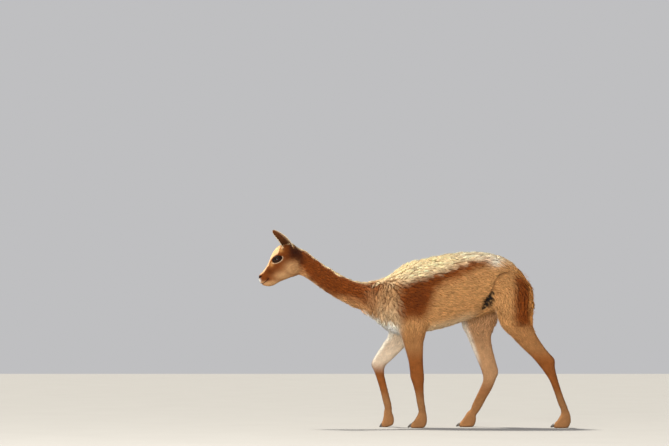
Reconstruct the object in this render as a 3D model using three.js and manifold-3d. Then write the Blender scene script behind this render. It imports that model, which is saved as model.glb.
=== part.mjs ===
// A vicuna walking to the left, life size, in millimetres.
// The floor is z = 0, the head looks along -x and the left side faces -y.
import * as THREE from 'three';
import Module from 'manifold-3d';
import { mergeVertices } from 'three/addons/utils/BufferGeometryUtils.js';

const wasm = await Module();
wasm.setup();

// Sizes shared by the whole animal
const GAP = 0.3;              // clear space between two neighbouring parts
const CENTRE_X = -5.7;        // middle of the animal's length, moved to x = 0
const MIDLINE_CUT = 12;       // how close to the midline a leg's block reaches
const FLANK_REACH = 190;      // how far out from the midline a leg's block reaches
const UP = new THREE.Vector3(0, 0, 1);
const FORWARD = new THREE.Vector3(-1, 0, 0);

// Profile tables
// Each row is [top or front x, z, bottom or rear x, z, half width].
const TORSO = [
  [-229, 712, -229, 614, 42], [-192, 749, -187, 546, 81], [-151, 777, -146, 515, 104],
  [-99, 811, -94, 491, 120], [-26, 853, -21, 486, 130], [78, 880, 78, 494, 135],
  [182, 900, 182, 521, 138], [286, 908, 281, 554, 134], [380, 903, 364, 580, 125],
  [458, 879, 432, 598, 114], [520, 837, 489, 614, 99], [567, 788, 530, 629, 75],
  [594, 738, 556, 650, 42],
];
const NECK = [
  [-616, 939, -645, 816, 47], [-572, 921, -607, 790, 49], [-525, 885, -569, 773, 46],
  [-473, 846, -525, 742, 46], [-416, 811, -471, 704, 47], [-359, 778, -408, 667, 50],
  [-307, 759, -341, 633, 55], [-255, 754, -273, 604, 66], [-198, 764, -208, 564, 83],
  [-125, 785, -135, 525, 104],
];
const HEAD = [
  [-597, 922, -590, 826, 36], [-645, 959, -611, 789, 50], [-679, 954, -642, 778, 54],
  [-712, 940, -673, 766, 55], [-736, 913, -699, 756, 52], [-754, 875, -720, 744, 44],
  [-766, 846, -738, 734, 35], [-784, 819, -758, 730, 29], [-800, 801, -778, 733, 24],
  [-810, 790, -796, 741, 21], [-815, 777, -806, 752, 14],
];
const TAIL = [
  [508, 836, 484, 806, 16], [556, 800, 530, 780, 24], [588, 757, 558, 746, 28],
  [603, 712, 572, 708, 31], [609, 660, 574, 658, 32], [609, 600, 575, 600, 30],
  [604, 545, 578, 548, 22], [598, 510, 584, 512, 9],
];

// Leg tables
// The rows run from the hip or shoulder down to the pastern.
const HIND_LEFT = [
  [425, 775, 525, 795, 20], [385, 722, 586, 740, 41], [403, 660, 604, 676, 49],
  [416, 588, 603, 598, 47], [442, 520, 605, 525, 40], [491, 471, 621, 484, 32], [546, 413, 650, 437, 27],
  [598, 364, 685, 393, 23], [632, 325, 718, 355, 24], [660, 289, 721, 312, 23],
  [689, 244, 733, 260, 20], [710, 192, 750, 203, 18], [728, 140, 769, 148, 18],
  [744, 91, 790, 96, 19], [756, 58, 797, 56, 17],
];
const HIND_RIGHT = [
  [300, 775, 420, 795, 20], [262, 702, 484, 745, 42], [247, 614, 458, 640, 49],
  [244, 541, 432, 546, 46], [274, 473, 402, 473, 38], [298, 413, 409, 408, 31], [325, 348, 424, 348, 25],
  [349, 286, 438, 287, 24], [355, 244, 426, 250, 23], [338, 200, 403, 195, 20],
  [315, 153, 374, 146, 18], [292, 104, 347, 96, 18], [276, 60, 316, 52, 17],
];
const FORE_RIGHT = [
  [-120, 690, 20, 700, 24], [-143, 545, 30, 520, 43], [-135, 481, -26, 442, 38],
  [-166, 434, -70, 395, 31], [-198, 386, -112, 354, 27], [-221, 348, -145, 324, 25],
  [-227, 322, -156, 302, 24], [-212, 286, -157, 273, 21], [-198, 244, -150, 239, 19],
  [-183, 192, -138, 192, 17], [-170, 140, -126, 143, 17], [-160, 99, -116, 101, 19],
  [-152, 68, -116, 64, 17],
];
const FORE_LEFT = [
  [-90, 700, 30, 700, 24], [-104, 560, 62, 545, 43], [-75, 463, 44, 447, 38],
  [-55, 400, 41, 390, 30], [-39, 343, 41, 335, 25], [-32, 296, 44, 291, 25],
  [-29, 263, 46, 255, 24], [-16, 224, 44, 216, 21], [-4, 177, 45, 172, 18],
  [4, 130, 49, 127, 17], [10, 88, 56, 88, 19], [14, 58, 54, 56, 17],
];

// Toe and nail tables
// x is measured back from the tip of the toe, z from the floor, and the
// last number is how far out the toe has splayed from the foot's middle.
const TOE = [
  [44, 84, 88, 84, 12, 4], [36, 62, 93, 58, 14, 8], [27, 46, 92, 26, 15, 11],
  [20, 36, 76, 0, 15, 12.5], [12, 28, 42, -4, 14.5, 13.5], [5, 20, 16, -3, 12, 14.5],
  [1, 12, 4, 2, 6, 15],
];
const NAIL = [
  [24, 27, 27, 15, 5, 14], [10, 25, 13, 10, 7, 14.5], [-3, 16, 1, 5, 6, 15],
  [-11, 6, -10, 2.5, 2, 15.5],
];

// Colours of the plain solids
const MATERIALS = {
  coat: new THREE.MeshStandardMaterial({ color: 0xa8764a, roughness: 0.95, metalness: 0 }),
  eye: new THREE.MeshStandardMaterial({ color: 0x140d0a, roughness: 0.08, metalness: 0 }),
  nail: new THREE.MeshStandardMaterial({ color: 0x2c2622, roughness: 0.5, metalness: 0 }),
};

// How finely and how square each body loft is drawn
const TORSO_SHAPE = { rings: 22, sides: 24, square: 2.25, keel: 0.06 };
const NECK_SHAPE = { rings: 14, sides: 20, square: 2.1, keel: 0.08 };
const HEAD_SHAPE = { rings: 19, sides: 20, square: 2.3, keel: 0.12 };
const TAIL_SHAPE = { rings: 12, sides: 14, square: 2.1 };
const EAR_SHAPE = { rings: 10, sides: 14, square: 2 };
const EAR_CUP_SHAPE = { rings: 9, sides: 12, square: 2 };
const LEG_SHAPE = { rings: 21, sides: 12, square: 2.15 };
const TOE_SHAPE = { rings: 7, sides: 9, square: 2.4 };
const NAIL_SHAPE = { rings: 5, sides: 7, square: 2 };
const MOUTH_SHAPE = { rings: 8, sides: 8, square: 2 };
const BALL_SIDES = 14;
const CIRCLE_STEPS = 14;

// Solid helpers

// Turns a closed surface into a solid that can be joined and cut.
function toSolid(geometry) {
  const bare = geometry.clone();
  bare.deleteAttribute('normal');
  bare.deleteAttribute('uv');
  const merged = mergeVertices(bare, 1e-4);
  const mesh = new wasm.Mesh({
    numProp: 3,
    vertProperties: Float32Array.from(merged.attributes.position.array),
    triVerts: Uint32Array.from(merged.index.array),
  });
  return new wasm.Manifold(mesh);
}

// Turns a solid back into a surface with indexed triangles.
function toGeometry(solid) {
  const mesh = solid.getMesh();
  const geometry = new THREE.BufferGeometry();
  const points = Float32Array.from(mesh.vertProperties);
  geometry.setAttribute('position', new THREE.BufferAttribute(points, 3));
  geometry.setIndex(new THREE.BufferAttribute(Uint32Array.from(mesh.triVerts), 1));
  geometry.computeVertexNormals();
  return geometry;
}

// Keeps only the largest closed piece of a solid.
function largest(solid) {
  const pieces = solid.decompose();
  return pieces.reduce((best, piece) => (piece.volume() > best.volume() ? piece : best));
}

// Joins a list of solids into one.
function join(solids) {
  return solids.reduce((whole, solid) => whole.add(solid));
}

// Raises a value to a power and keeps its sign.
function signedPower(value, power) {
  return Math.sign(value) * Math.abs(value) ** power;
}

// Closes rows of points, all of the same length, into a skin with an end fan
// at each end.
function closeRings(rings) {
  const sides = rings[0].length;
  const ends = [rings[0], rings[rings.length - 1]].map((ring) => ring
    .reduce((sum, point) => sum.add(point), new THREE.Vector3())
    .divideScalar(sides));
  const points = [...rings.flat(), ...ends];
  const first = rings.length * sides;
  const index = [];
  for (let side = 0; side < sides; side += 1) {
    const next = (side + 1) % sides;
    for (let ring = 0; ring < rings.length - 1; ring += 1) {
      const low = ring * sides;
      const high = low + sides;
      index.push(low + side, low + next, high + next);
      index.push(low + side, high + next, high + side);
    }
    const last = first - sides;
    index.push(first, next, side);
    index.push(first + 1, last + side, last + next);
  }
  const geometry = new THREE.BufferGeometry().setFromPoints(points);
  geometry.setIndex(index);
  const solid = toSolid(geometry);
  if (solid.volume() >= 0) return solid;
  geometry.setIndex(index.reverse());
  return toSolid(geometry);
}

// Lofts a body along a profile table: between two outline points the section
// is a rounded oval, squarer as `square` rises and narrower below by `keel`.
function loft(table, options) {
  const { y = 0, rings, sides, square = 2.2, keel = 0, grow = 0 } = options;
  const track = (pick) => new THREE.CatmullRomCurve3(
    table.map((row) => new THREE.Vector3(...pick(row))), false, 'catmullrom', 0.5,
  );
  const upper = track((row) => [row[0], y, row[1]]);
  const lower = track((row) => [row[2], y, row[3]]);
  const sizes = track((row) => [row[4], row[5] ?? 0, 0]);
  const rows = [];
  for (let ring = 0; ring < rings; ring += 1) {
    const share = ring / (rings - 1);
    const top = upper.getPoint(share);
    const bottom = lower.getPoint(share);
    const size = sizes.getPoint(share);
    const centre = top.clone().add(bottom).multiplyScalar(0.5);
    const rise = top.clone().sub(centre);
    rise.setLength(rise.length() + grow);
    const row = [];
    for (let side = 0; side < sides; side += 1) {
      const angle = (2 * Math.PI * side) / sides;
      const up = signedPower(Math.cos(angle), 2 / square);
      const out = signedPower(Math.sin(angle), 2 / square) * (1 + keel * up);
      const point = centre.clone().addScaledVector(rise, up);
      point.y += size.y + out * (size.x + grow);
      row.push(point);
    }
    rows.push(row);
  }
  return closeRings(rows);
}

// An oval ball with half sizes along x, y and z, tilted about y.
function ball(centre, half, tilt = 0, sides = BALL_SIDES) {
  const geometry = new THREE.SphereGeometry(1, sides, Math.round(sides * 0.7));
  geometry.scale(...half);
  geometry.rotateY(tilt);
  geometry.translate(...centre);
  return toSolid(geometry);
}

// A block whose side view is the hull of circles [x, z, radius], reaching
// from `inner` to `outer` along y on the given side of the midline.
function block(circles, side, inner, outer, grow = 0) {
  const points = [];
  for (const [x, z, radius] of circles) {
    for (let step = 0; step < CIRCLE_STEPS; step += 1) {
      const angle = (2 * Math.PI * step) / CIRCLE_STEPS;
      const reach = radius + grow;
      points.push(new THREE.Vector2(x + reach * Math.cos(angle), z + reach * Math.sin(angle)));
    }
  }
  const outline = new THREE.Shape(hullOutline(points));
  const depth = outer - inner + 2 * grow;
  const geometry = new THREE.ExtrudeGeometry(outline, { depth, bevelEnabled: false, steps: 1 });
  geometry.rotateX(Math.PI / 2);
  const start = side < 0 ? -(inner - grow) : outer + grow;
  geometry.translate(0, start, 0);
  return toSolid(geometry);
}

// The convex outline round a cloud of flat points, counter-clockwise.
function hullOutline(points) {
  const sorted = [...points].sort((a, b) => a.x - b.x || a.y - b.y);
  const half = (cloud) => {
    const chain = [];
    for (const point of cloud) {
      while (chain.length > 1 && leftBend(chain.at(-2), chain.at(-1), point) <= 0) chain.pop();
      chain.push(point);
    }
    return chain.slice(0, -1);
  };
  return [...half(sorted), ...half(sorted.reverse())];
}

// Positive where the path a, b, c bends to the left.
function leftBend(a, b, c) {
  return (b.x - a.x) * (c.y - a.y) - (b.y - a.y) * (c.x - a.x);
}

// A straight cut through side-view points a and b, drawn so that its left
// hand is the side of the head or the hip.
function cutLine(a, b) {
  const normal = new THREE.Vector2(-(b[1] - a[1]), b[0] - a[0]).normalize();
  const offset = normal.x * a[0] + normal.y * a[1];
  return { normal: [normal.x, 0, normal.y], offset };
}

function upperSide(solid, line) {
  return solid.trimByPlane(line.normal, line.offset + GAP / 2);
}

function lowerSide(solid, line) {
  const reverse = line.normal.map((value) => -value);
  return solid.trimByPlane(reverse, -line.offset + GAP / 2);
}

// Whole-body lofts
const torsoLoft = loft(TORSO, TORSO_SHAPE);
const neckLoft = loft(NECK, NECK_SHAPE);
const headLoft = loft(HEAD, HEAD_SHAPE);
const headRoom = join([
  loft(HEAD, { ...HEAD_SHAPE, grow: GAP }),
  loft(NECK, { ...NECK_SHAPE, grow: GAP }),
]);

// Cuts across the neck
const NECK_TOP_CUT = cutLine([-640, 796], [-588, 931]);
const NECK_FOOT_CUT = cutLine([-250, 580], [-213, 780]);

// Head
const EYE = { x: -715, y: 36, z: 870, radius: 22 };
const LID = { thickness: 2.5, long: 23, high: 13.5, deep: 17.6, tilt: -0.4 };
const NOSTRIL = [
  { at: [-811, 10, 781], half: [5, 4.5, 3], tilt: 0.5 },
  { at: [-806, 14, 785], half: [6, 4, 2.6], tilt: 0.9 },
];
const NOSTRIL_SIDES = 9;
const MOUTH = [
  [-818, 743, -814, 734, 30], [-795, 747, -795, 742, 30],
  [-774, 751, -774, 747, 34], [-753, 768, -751, 765, 38],
];
const LIPS = [
  { at: [-793, 0, 757], half: [19, 20, 14], tilt: 0.5 },
  { at: [-779, 0, 739], half: [16, 18, 9], tilt: 0.1 },
];
const BONES = [
  { at: [-706, 34, 893], half: [30, 17, 14], tilt: -0.5 },
  { at: [-722, 32, 838], half: [30, 16, 16], tilt: 0.9 },
];
const BONE_SIDES = 16;

// A round ball about the middle of one eye.
function eyeBall(side, radius) {
  return ball([EYE.x, side * EYE.y, EYE.z], [radius, radius, radius]);
}

// The eyelids stand on the head as a thin bulge over the eyeball.
function eyelids(side) {
  return eyeBall(side, EYE.radius + GAP + LID.thickness);
}

// The almond opening between the lids, rear corner higher.
function lidOpening(side) {
  const outward = side * (EYE.y + EYE.radius);
  return ball([EYE.x, outward, EYE.z], [LID.long, LID.deep, LID.high], LID.tilt);
}

function eyeSocket(side) {
  return eyeBall(side, EYE.radius + GAP);
}

// Balls of a list set on one side of the midline and joined.
function mounds(list, side, sides) {
  return join(list.map(({ at: [x, y, z], half, tilt }) => ball(
    [x, side * y, z], half, tilt, sides,
  )));
}

// The mouth is a thin wedge between the lips, from the front of the muzzle
// back and up to the corner. Each nostril is two small hollows, and brow and
// cheek are low mounds that only just leave the head's loft.
function headSolid() {
  const sides = [-1, 1];
  const full = join([
    headLoft, neckLoft, mounds(LIPS, 1, BALL_SIDES),
    ...sides.flatMap((side) => [mounds(BONES, side, BONE_SIDES), eyelids(side)]),
  ]);
  const cutAway = join([loft(MOUTH, MOUTH_SHAPE), ...sides.flatMap((side) => [
    mounds(NOSTRIL, side, NOSTRIL_SIDES), eyeSocket(side), lidOpening(side),
  ])]);
  return upperSide(full, NECK_TOP_CUT).subtract(cutAway);
}

// Ears
const EAR = [
  [-628, 922, -664, 898, 11], [-640, 952, -684, 926, 16], [-656, 975, -699, 951, 17],
  [-672, 990, -712, 970, 15], [-693, 1006, -727, 989, 12], [-715, 1018, -738, 1005, 7],
  [-731, 1024, -741, 1018, 3],
];
const EAR_WALL = 3.5;
const EAR_Y = 31;
const EAR_LEAN = 0.16;
const EAR_CUP = { ahead: 2, out: 12.5 };  // how far the cup's hollow is moved from the leaf

// A pointed leaf with a cup that opens outward; its root fits the head.
function ear(side) {
  const outer = loft(EAR, EAR_SHAPE);
  const hollowTable = EAR.slice(1, -1).map(([ax, az, bx, bz, half]) => {
    const length = Math.hypot(ax - bx, az - bz);
    const inX = ((ax - bx) / length) * EAR_WALL;
    const inZ = ((az - bz) / length) * EAR_WALL;
    return [ax - inX, az - inZ, bx + inX, bz + inZ, half];
  });
  const hollow = loft(hollowTable, EAR_CUP_SHAPE)
    .translate([-EAR_CUP.ahead, side * EAR_CUP.out, 0]);
  const placed = outer.subtract(hollow)
    .translate([0, side * EAR_Y, 0])
    .warp((point) => {
      point[1] += side * EAR_LEAN * (point[2] - EAR[0][1]);
    });
  return largest(placed.subtract(headRoom));
}

// Locks of long hair
const LOCK_STEPS = [[-0.18, 0.7, 1], [0.25, 1, 1], [0.65, 0.72, 0.8], [0.97, 0.12, 0.25]];

// Repeatable random numbers between -1 and 1.
function scatter(seed) {
  let state = seed;
  return () => {
    state = (state * 16807) % 2147483647;
    return (2 * state) / 2147483647 - 1;
  };
}

// One flat tapered lock: a diamond section that swells from a sunk root,
// bends down under its own weight and ends in a point. Each step gives the
// share of the length, of the width and of the thickness.
function lock(root, lie, face, size) {
  const along = lie.clone().normalize();
  const across = new THREE.Vector3().crossVectors(face, along).normalize();
  const lift = new THREE.Vector3().crossVectors(along, across).normalize();
  const rings = LOCK_STEPS.map(([share, width, thick]) => {
    const centre = root.clone().addScaledVector(along, share * size.long);
    centre.addScaledVector(lift, -size.curl * share * share);
    return [
      centre.clone().addScaledVector(across, (width * size.wide) / 2),
      centre.clone().addScaledVector(lift, (thick * size.thick) / 2),
      centre.clone().addScaledVector(across, (-width * size.wide) / 2),
      centre.clone().addScaledVector(lift, (-thick * size.thick) / 2),
    ];
  });
  return closeRings(rings);
}

// Finds where a straight line from `from` towards `way` first meets a solid.
function firstHit(target, from, way) {
  const ray = new THREE.Raycaster(from, way.clone().normalize());
  const [hit] = ray.intersectObject(target);
  return hit;
}

function pickable(solid) {
  return new THREE.Mesh(
    toGeometry(solid), new THREE.MeshBasicMaterial({ side: THREE.DoubleSide }),
  );
}

// The bib hangs from the foot of the neck and from the breast in rows that
// overlap like tiles, longest in the middle.
const BIB = {
  rows: 8, perRow: 6, front: -262, rear: -66, halfWidth: 60, below: 300, steepest: -0.2,
  sink: 2, long: 42, wide: 21, thick: 7, curl: -5, lie: [0.9, 0.12, -0.35], stand: 0.2,
};

function bib(chest) {
  const target = pickable(chest);
  const random = scatter(1117);
  const locks = [];
  for (let row = 0; row < BIB.rows; row += 1) {
    const back = row / (BIB.rows - 1);
    for (let place = 0; place < BIB.perRow; place += 1) {
      const spot = (2 * (place + 0.5 * (row % 2) + 0.25)) / BIB.perRow - 1;
      const x = BIB.front + (BIB.rear - BIB.front) * back + 6 * random();
      const y = spot * BIB.halfWidth * (0.75 + 0.25 * Math.sin(Math.PI * back)) + 3 * random();
      const hit = firstHit(target, new THREE.Vector3(x, y, BIB.below), UP);
      if (!hit || hit.face.normal.z > BIB.steepest) continue;
      const out = hit.face.normal;
      const root = hit.point.clone().addScaledVector(out, -BIB.sink);
      const lie = new THREE.Vector3(BIB.lie[0], BIB.lie[1] * Math.sign(y), BIB.lie[2]);
      lie.addScaledVector(out, -lie.dot(out)).normalize();
      lie.addScaledVector(out, BIB.stand * (1 + 0.25 * random()));
      locks.push(lock(root, lie, out, {
        long: BIB.long * (1 - 0.25 * Math.abs(spot)) * (1 + 0.12 * random()),
        wide: BIB.wide, thick: BIB.thick, curl: BIB.curl,
      }));
    }
  }
  return locks;
}

// Tail
const TAIL_SWING = 9;         // free space round the hanging part of the tail
const tailRoom = join([
  loft(TAIL, { ...TAIL_SHAPE, grow: GAP }),
  loft(TAIL.slice(3), { ...TAIL_SHAPE, grow: TAIL_SWING }),
]);

const TAIL_HAIR = {
  rows: 6, perRow: 5, top: 712, bottom: 530, arc: 1.05, behind: 700, core: 17, reach: 90,
  sink: 1.5, long: 42, wide: 17, thick: 6, curl: 3, stand: 0.06,
};

// Hair on the outer face of the tail, lying down along it.
function tailHair(tail) {
  const target = pickable(tail);
  const random = scatter(2221);
  const locks = [];
  for (let row = 0; row < TAIL_HAIR.rows; row += 1) {
    const share = row / (TAIL_HAIR.rows - 1);
    const z = TAIL_HAIR.top + (TAIL_HAIR.bottom - TAIL_HAIR.top) * share;
    for (let place = 0; place < TAIL_HAIR.perRow; place += 1) {
      const spot = (place + 0.5 * (row % 2) + 0.25) / TAIL_HAIR.perRow - 0.5;
      const angle = 2 * TAIL_HAIR.arc * spot + 0.05 * random();
      const way = new THREE.Vector3(-Math.cos(angle), -Math.sin(angle), 0);
      const start = new THREE.Vector3(TAIL_HAIR.behind, 0, z);
      const face = firstHit(target, start, FORWARD);
      const from = new THREE.Vector3(face.point.x - TAIL_HAIR.core, 0, z)
        .addScaledVector(way, -TAIL_HAIR.reach);
      const hit = firstHit(target, from, way);
      if (!hit) continue;
      const out = hit.face.normal;
      const root = hit.point.clone().addScaledVector(out, -TAIL_HAIR.sink);
      const lie = UP.clone().negate();
      lie.addScaledVector(out, -lie.dot(out)).normalize();
      lie.addScaledVector(out, TAIL_HAIR.stand);
      locks.push(lock(root, lie, out, {
        long: TAIL_HAIR.long * (1 + 0.15 * random()),
        wide: TAIL_HAIR.wide, thick: TAIL_HAIR.thick, curl: TAIL_HAIR.curl,
      }));
    }
  }
  return locks;
}

function tailSolid() {
  const bare = loft(TAIL, TAIL_SHAPE);
  return join([bare, ...tailHair(bare)]);
}

// Legs

// A toe's or a nail's rows, set at the foot and splayed to one side of it.
function footRows(table, foot, splay) {
  const along = (x) => foot.tip + (x > 0 ? x * foot.long : x);
  return turned(table.map(([ax, az, bx, bz, half, out]) => [
    along(ax), az, along(bx), bz, half * foot.scale, splay * out * foot.scale,
  ]), foot);
}

// One toe with a flat pad.
function toe(foot, splay) {
  return loft(footRows(TOE, foot, splay), { ...TOE_SHAPE, y: foot.y });
}

function nail(foot, splay, grow = 0) {
  return loft(footRows(NAIL, foot, splay), { ...NAIL_SHAPE, y: foot.y, grow });
}

// Turns a foot's side view about the tip of its toe, heel upward.
function turned(table, foot) {
  const cos = Math.cos(foot.pitch);
  const sin = Math.sin(foot.pitch);
  const spin = (x, z) => [
    foot.tip + (x - foot.tip) * cos - z * sin, (x - foot.tip) * sin + z * cos + foot.lift,
  ];
  return table.map(([ax, az, bx, bz, half, out]) => [
    ...spin(ax, az), ...spin(bx, bz), half, out,
  ]);
}

// A whole leg of one loft, two toes and a flat sole at the floor.
function wholeLeg(leg) {
  const shaft = loft(leg.table, LEG_SHAPE).warp((point) => {
    point[1] += lateral(leg, point[2]);
  });
  const toes = [-1, 1].map((splay) => toe(leg.foot, splay));
  const nails = [-1, 1].map((splay) => nail(leg.foot, splay, GAP));
  const full = join([shaft, ...toes]).trimByPlane([0, 0, 1], 0);
  return full.subtract(join(nails));
}

// How far from the midline the leg's middle lies at a height z.
function lateral(leg, z) {
  const top = leg.spread.length - 1;
  const place = Math.min(Math.max(z / leg.top, 0), 1) * top;
  const low = Math.min(Math.floor(place), top - 1);
  const share = place - low;
  const smooth = share * share * (3 - 2 * share);
  return leg.side * (leg.spread[low] * (1 - smooth) + leg.spread[low + 1] * smooth);
}

const LEGS = [
  {
    name: 'hindleg_left', side: -1, table: HIND_LEFT, top: 780, spread: [62, 68, 86, 58],
    cuts: [cutLine([420, 506], [640, 512]), cutLine([612, 368], [700, 401]),
      cutLine([725, 128], [790, 134])],
    names: ['thigh', 'shank', 'lower', 'foot'],
    circles: [[470, 690, 75], [520, 700, 92], [500, 600, 112], [520, 500, 112]],
    foot: { tip: 707, pitch: 0, lift: 0, scale: 1, long: 1 },
  },
  {
    name: 'hindleg_right', side: 1, table: HIND_RIGHT, top: 780, spread: [62, 68, 86, 58],
    cuts: [cutLine([240, 486], [430, 488]), cutLine([330, 322], [450, 322]),
      cutLine([290, 122], [372, 114])],
    names: ['thigh', 'shank', 'lower', 'foot'],
    circles: [[385, 680, 75], [350, 640, 100], [345, 560, 112], [345, 470, 104]],
    foot: { tip: 226, pitch: 0, lift: 0, scale: 1, long: 1 },
  },
  {
    name: 'foreleg_left', side: -1, table: FORE_LEFT, top: 700, spread: [58, 64, 70, 62],
    cuts: [cutLine([-50, 312], [60, 306]), cutLine([-10, 118], [70, 116])],
    names: ['upper', 'lower', 'foot'],
    circles: [[-25, 590, 78], [-15, 520, 92], [-10, 330, 70]],
    foot: { tip: -30, pitch: 0, lift: 0, scale: 0.95, long: 0.96 },
  },
  {
    name: 'foreleg_right', side: 1, table: FORE_RIGHT, top: 700, spread: [58, 64, 70, 62],
    cuts: [cutLine([-245, 342], [-135, 318]), cutLine([-185, 124], [-100, 124])],
    names: ['upper', 'lower', 'foot'],
    circles: [[-55, 590, 78], [-60, 520, 92], [-190, 340, 70]],
    foot: { tip: -175, pitch: 0.3, lift: -6, scale: 0.95, long: 0.86 },
  },
];

// The legs' blocks, set to their full size or grown by the gap.
function legBlock(leg, grow = 0) {
  return block(leg.circles, leg.side, MIDLINE_CUT, FLANK_REACH, grow);
}

// Cuts one leg below its hip or shoulder into its lower parts.
function lowerLeg(leg, full) {
  const pieces = {};
  let rest = lowerSide(full, leg.cuts[0]);
  leg.names.slice(1).forEach((name, place) => {
    const cut = leg.cuts[place + 1];
    pieces[`${leg.name}_${name}`] = cut ? upperSide(rest, cut) : rest;
    rest = cut ? lowerSide(rest, cut) : rest;
  });
  return pieces;
}

function nails(leg) {
  const pieces = {};
  for (const splay of [-1, 1]) {
    const position = splay * leg.side > 0 ? 'outer' : 'inner';
    pieces[`${leg.name}_nail_${position}`] = nail(leg.foot, splay).trimByPlane([0, 0, 1], 0);
  }
  return pieces;
}

// Splits the torso and its legs into their parts.
function bodyParts() {
  const limbs = LEGS.map((leg) => {
    leg.foot.y = leg.side * leg.spread[0];
    return { leg, full: wholeLeg(leg) };
  });
  const trunk = join([
    lowerSide(join([torsoLoft, neckLoft]), NECK_FOOT_CUT),
    ...limbs.map(({ leg, full }) => upperSide(full, leg.cuts[0])),
  ]).subtract(tailRoom);
  const pieces = {};
  for (const { leg, full } of limbs) {
    const haunch = upperSide(legBlock(leg), leg.cuts[0]);
    pieces[`${leg.name}_${leg.names[0]}`] = trunk.intersect(haunch);
    Object.assign(pieces, lowerLeg(leg, full), nails(leg));
  }
  const legRoom = join(LEGS.map((leg) => legBlock(leg, GAP)));
  const bare = trunk.subtract(legRoom);
  const locks = lowerSide(join(bib(bare)), NECK_FOOT_CUT);
  return { ...pieces, torso: bare.add(locks).subtract(legRoom) };
}

// The neck lies between its two cuts.
function neckSolid() {
  const full = join([neckLoft, headLoft]);
  return upperSide(lowerSide(full, NECK_TOP_CUT), NECK_FOOT_CUT);
}

const parts = {
  head: headSolid(),
  neck: neckSolid(),
  tail: tailSolid(),
  ear_left: ear(-1),
  ear_right: ear(1),
  eye_left: eyeBall(-1, EYE.radius),
  eye_right: eyeBall(1, EYE.radius),
  ...bodyParts(),
};

const animal = new THREE.Group();
animal.name = 'vicuna';
for (const [name, solid] of Object.entries(parts)) {
  const kind = name.startsWith('eye') ? 'eye' : name.includes('nail') ? 'nail' : 'coat';
  const mesh = new THREE.Mesh(toGeometry(largest(solid)), MATERIALS[kind]);
  mesh.name = name;
  mesh.geometry.translate(-CENTRE_X, 0, 0);
  animal.add(mesh);
}

export default animal;
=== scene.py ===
# %% [markdown]
# # A vicuna, life size
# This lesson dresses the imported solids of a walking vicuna. The solids carry the weight and the
# collision; here the same outline gets one skin, dark wet eyes and a coat of small solid tufts.
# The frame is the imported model: metres, z up, the head towards -x, the left side towards -y.
# The body's own tables are in millimetres, and `to_metres` puts them into the frame.

import math

import bmesh
import bpy
import numpy as np
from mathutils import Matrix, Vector
from mathutils.kdtree import KDTree


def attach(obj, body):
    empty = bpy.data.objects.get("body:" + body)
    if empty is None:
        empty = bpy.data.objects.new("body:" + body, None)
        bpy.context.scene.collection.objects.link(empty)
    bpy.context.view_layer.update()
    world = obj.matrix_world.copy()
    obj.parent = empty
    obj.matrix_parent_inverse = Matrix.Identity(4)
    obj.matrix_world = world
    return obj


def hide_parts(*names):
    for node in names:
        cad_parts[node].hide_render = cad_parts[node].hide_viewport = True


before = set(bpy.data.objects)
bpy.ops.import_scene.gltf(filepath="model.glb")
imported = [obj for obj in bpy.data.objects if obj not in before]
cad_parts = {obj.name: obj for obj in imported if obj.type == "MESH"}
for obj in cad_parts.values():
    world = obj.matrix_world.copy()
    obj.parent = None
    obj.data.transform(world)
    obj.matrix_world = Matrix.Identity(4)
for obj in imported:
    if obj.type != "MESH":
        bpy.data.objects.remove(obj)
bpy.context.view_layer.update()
MM = 0.001
SHIFT_X = 0.0057  # the solids' own centring along the length

# %% [markdown]
# ## Camera
# The photo looks squarely at the animal's left side through a long lens, which hardly draws the
# far legs smaller. One pixel is 5.2 mm at the animal. The lens could be shifted to place the
# animal in the picture, but a slight upward look needs plainer numbers: the camera stands
# twelve metres off, at half the height of the ears, and aims at the picture's middle.

# %% Camera


def add_object(name, data):
    """An object with the given data, in the scene."""
    thing = bpy.data.objects.new(name, data)
    bpy.context.scene.collection.objects.link(thing)
    return thing


MM_PER_PIXEL = 5.2
CAMERA_DISTANCE = 12.0
CAMERA_HEIGHT = 0.515
AIM_HEIGHT = 1.061
AIM_X = -0.4186 + SHIFT_X
FRAME_PIXELS = 669
SENSOR = 36.0


def make_camera():
    """A camera whose focal length gives 5.2 mm a pixel at the animal's midline."""
    data = bpy.data.cameras.new("camera")
    data.sensor_width = SENSOR
    data.lens = SENSOR * CAMERA_DISTANCE / (FRAME_PIXELS * MM_PER_PIXEL * MM)
    camera = add_object("camera", data)
    camera.location = (AIM_X, -CAMERA_DISTANCE, CAMERA_HEIGHT)
    pitch = math.atan2(AIM_HEIGHT - CAMERA_HEIGHT, CAMERA_DISTANCE)
    camera.rotation_euler = (math.pi / 2 + pitch, 0.0, 0.0)
    bpy.context.scene.camera = camera
    return camera


camera = make_camera()
print("lens", round(camera.data.lens, 1), "mm")

# %% [markdown]
# ## Light
# The sun stands high behind the animal and a little ahead of it, and draws a bright line along
# back, neck and forehead. One broad sun lamp does that. The shaded side is lit by a large weak
# lamp near the camera and by a pale world, since a second sun would throw second shadows. The
# plain Standard view keeps the coat's warm colours as they are set.

# %% Lights
SUN = {"from": (-0.50, 0.42, 1.25), "strength": 6.2, "angle": 8.0, "colour": (1.0, 0.94, 0.82)}
FILL = {"at": (-1.6, -5.6, 1.1), "aim": (-0.1, 0, 0.55), "size": 4.2, "watts": 480,
        "colour": (1.0, 0.95, 0.88)}
WORLD = {"colour": (0.93, 0.93, 0.95), "strength": 0.56}


def add_lamp(name, kind, at, way):
    """A lamp of one kind that shines along a way."""
    data = bpy.data.lights.new(name, kind)
    lamp = add_object(name, data)
    lamp.location = at
    lamp.rotation_euler = Vector(way).to_track_quat("-Z", "Y").to_euler()
    return data


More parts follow.
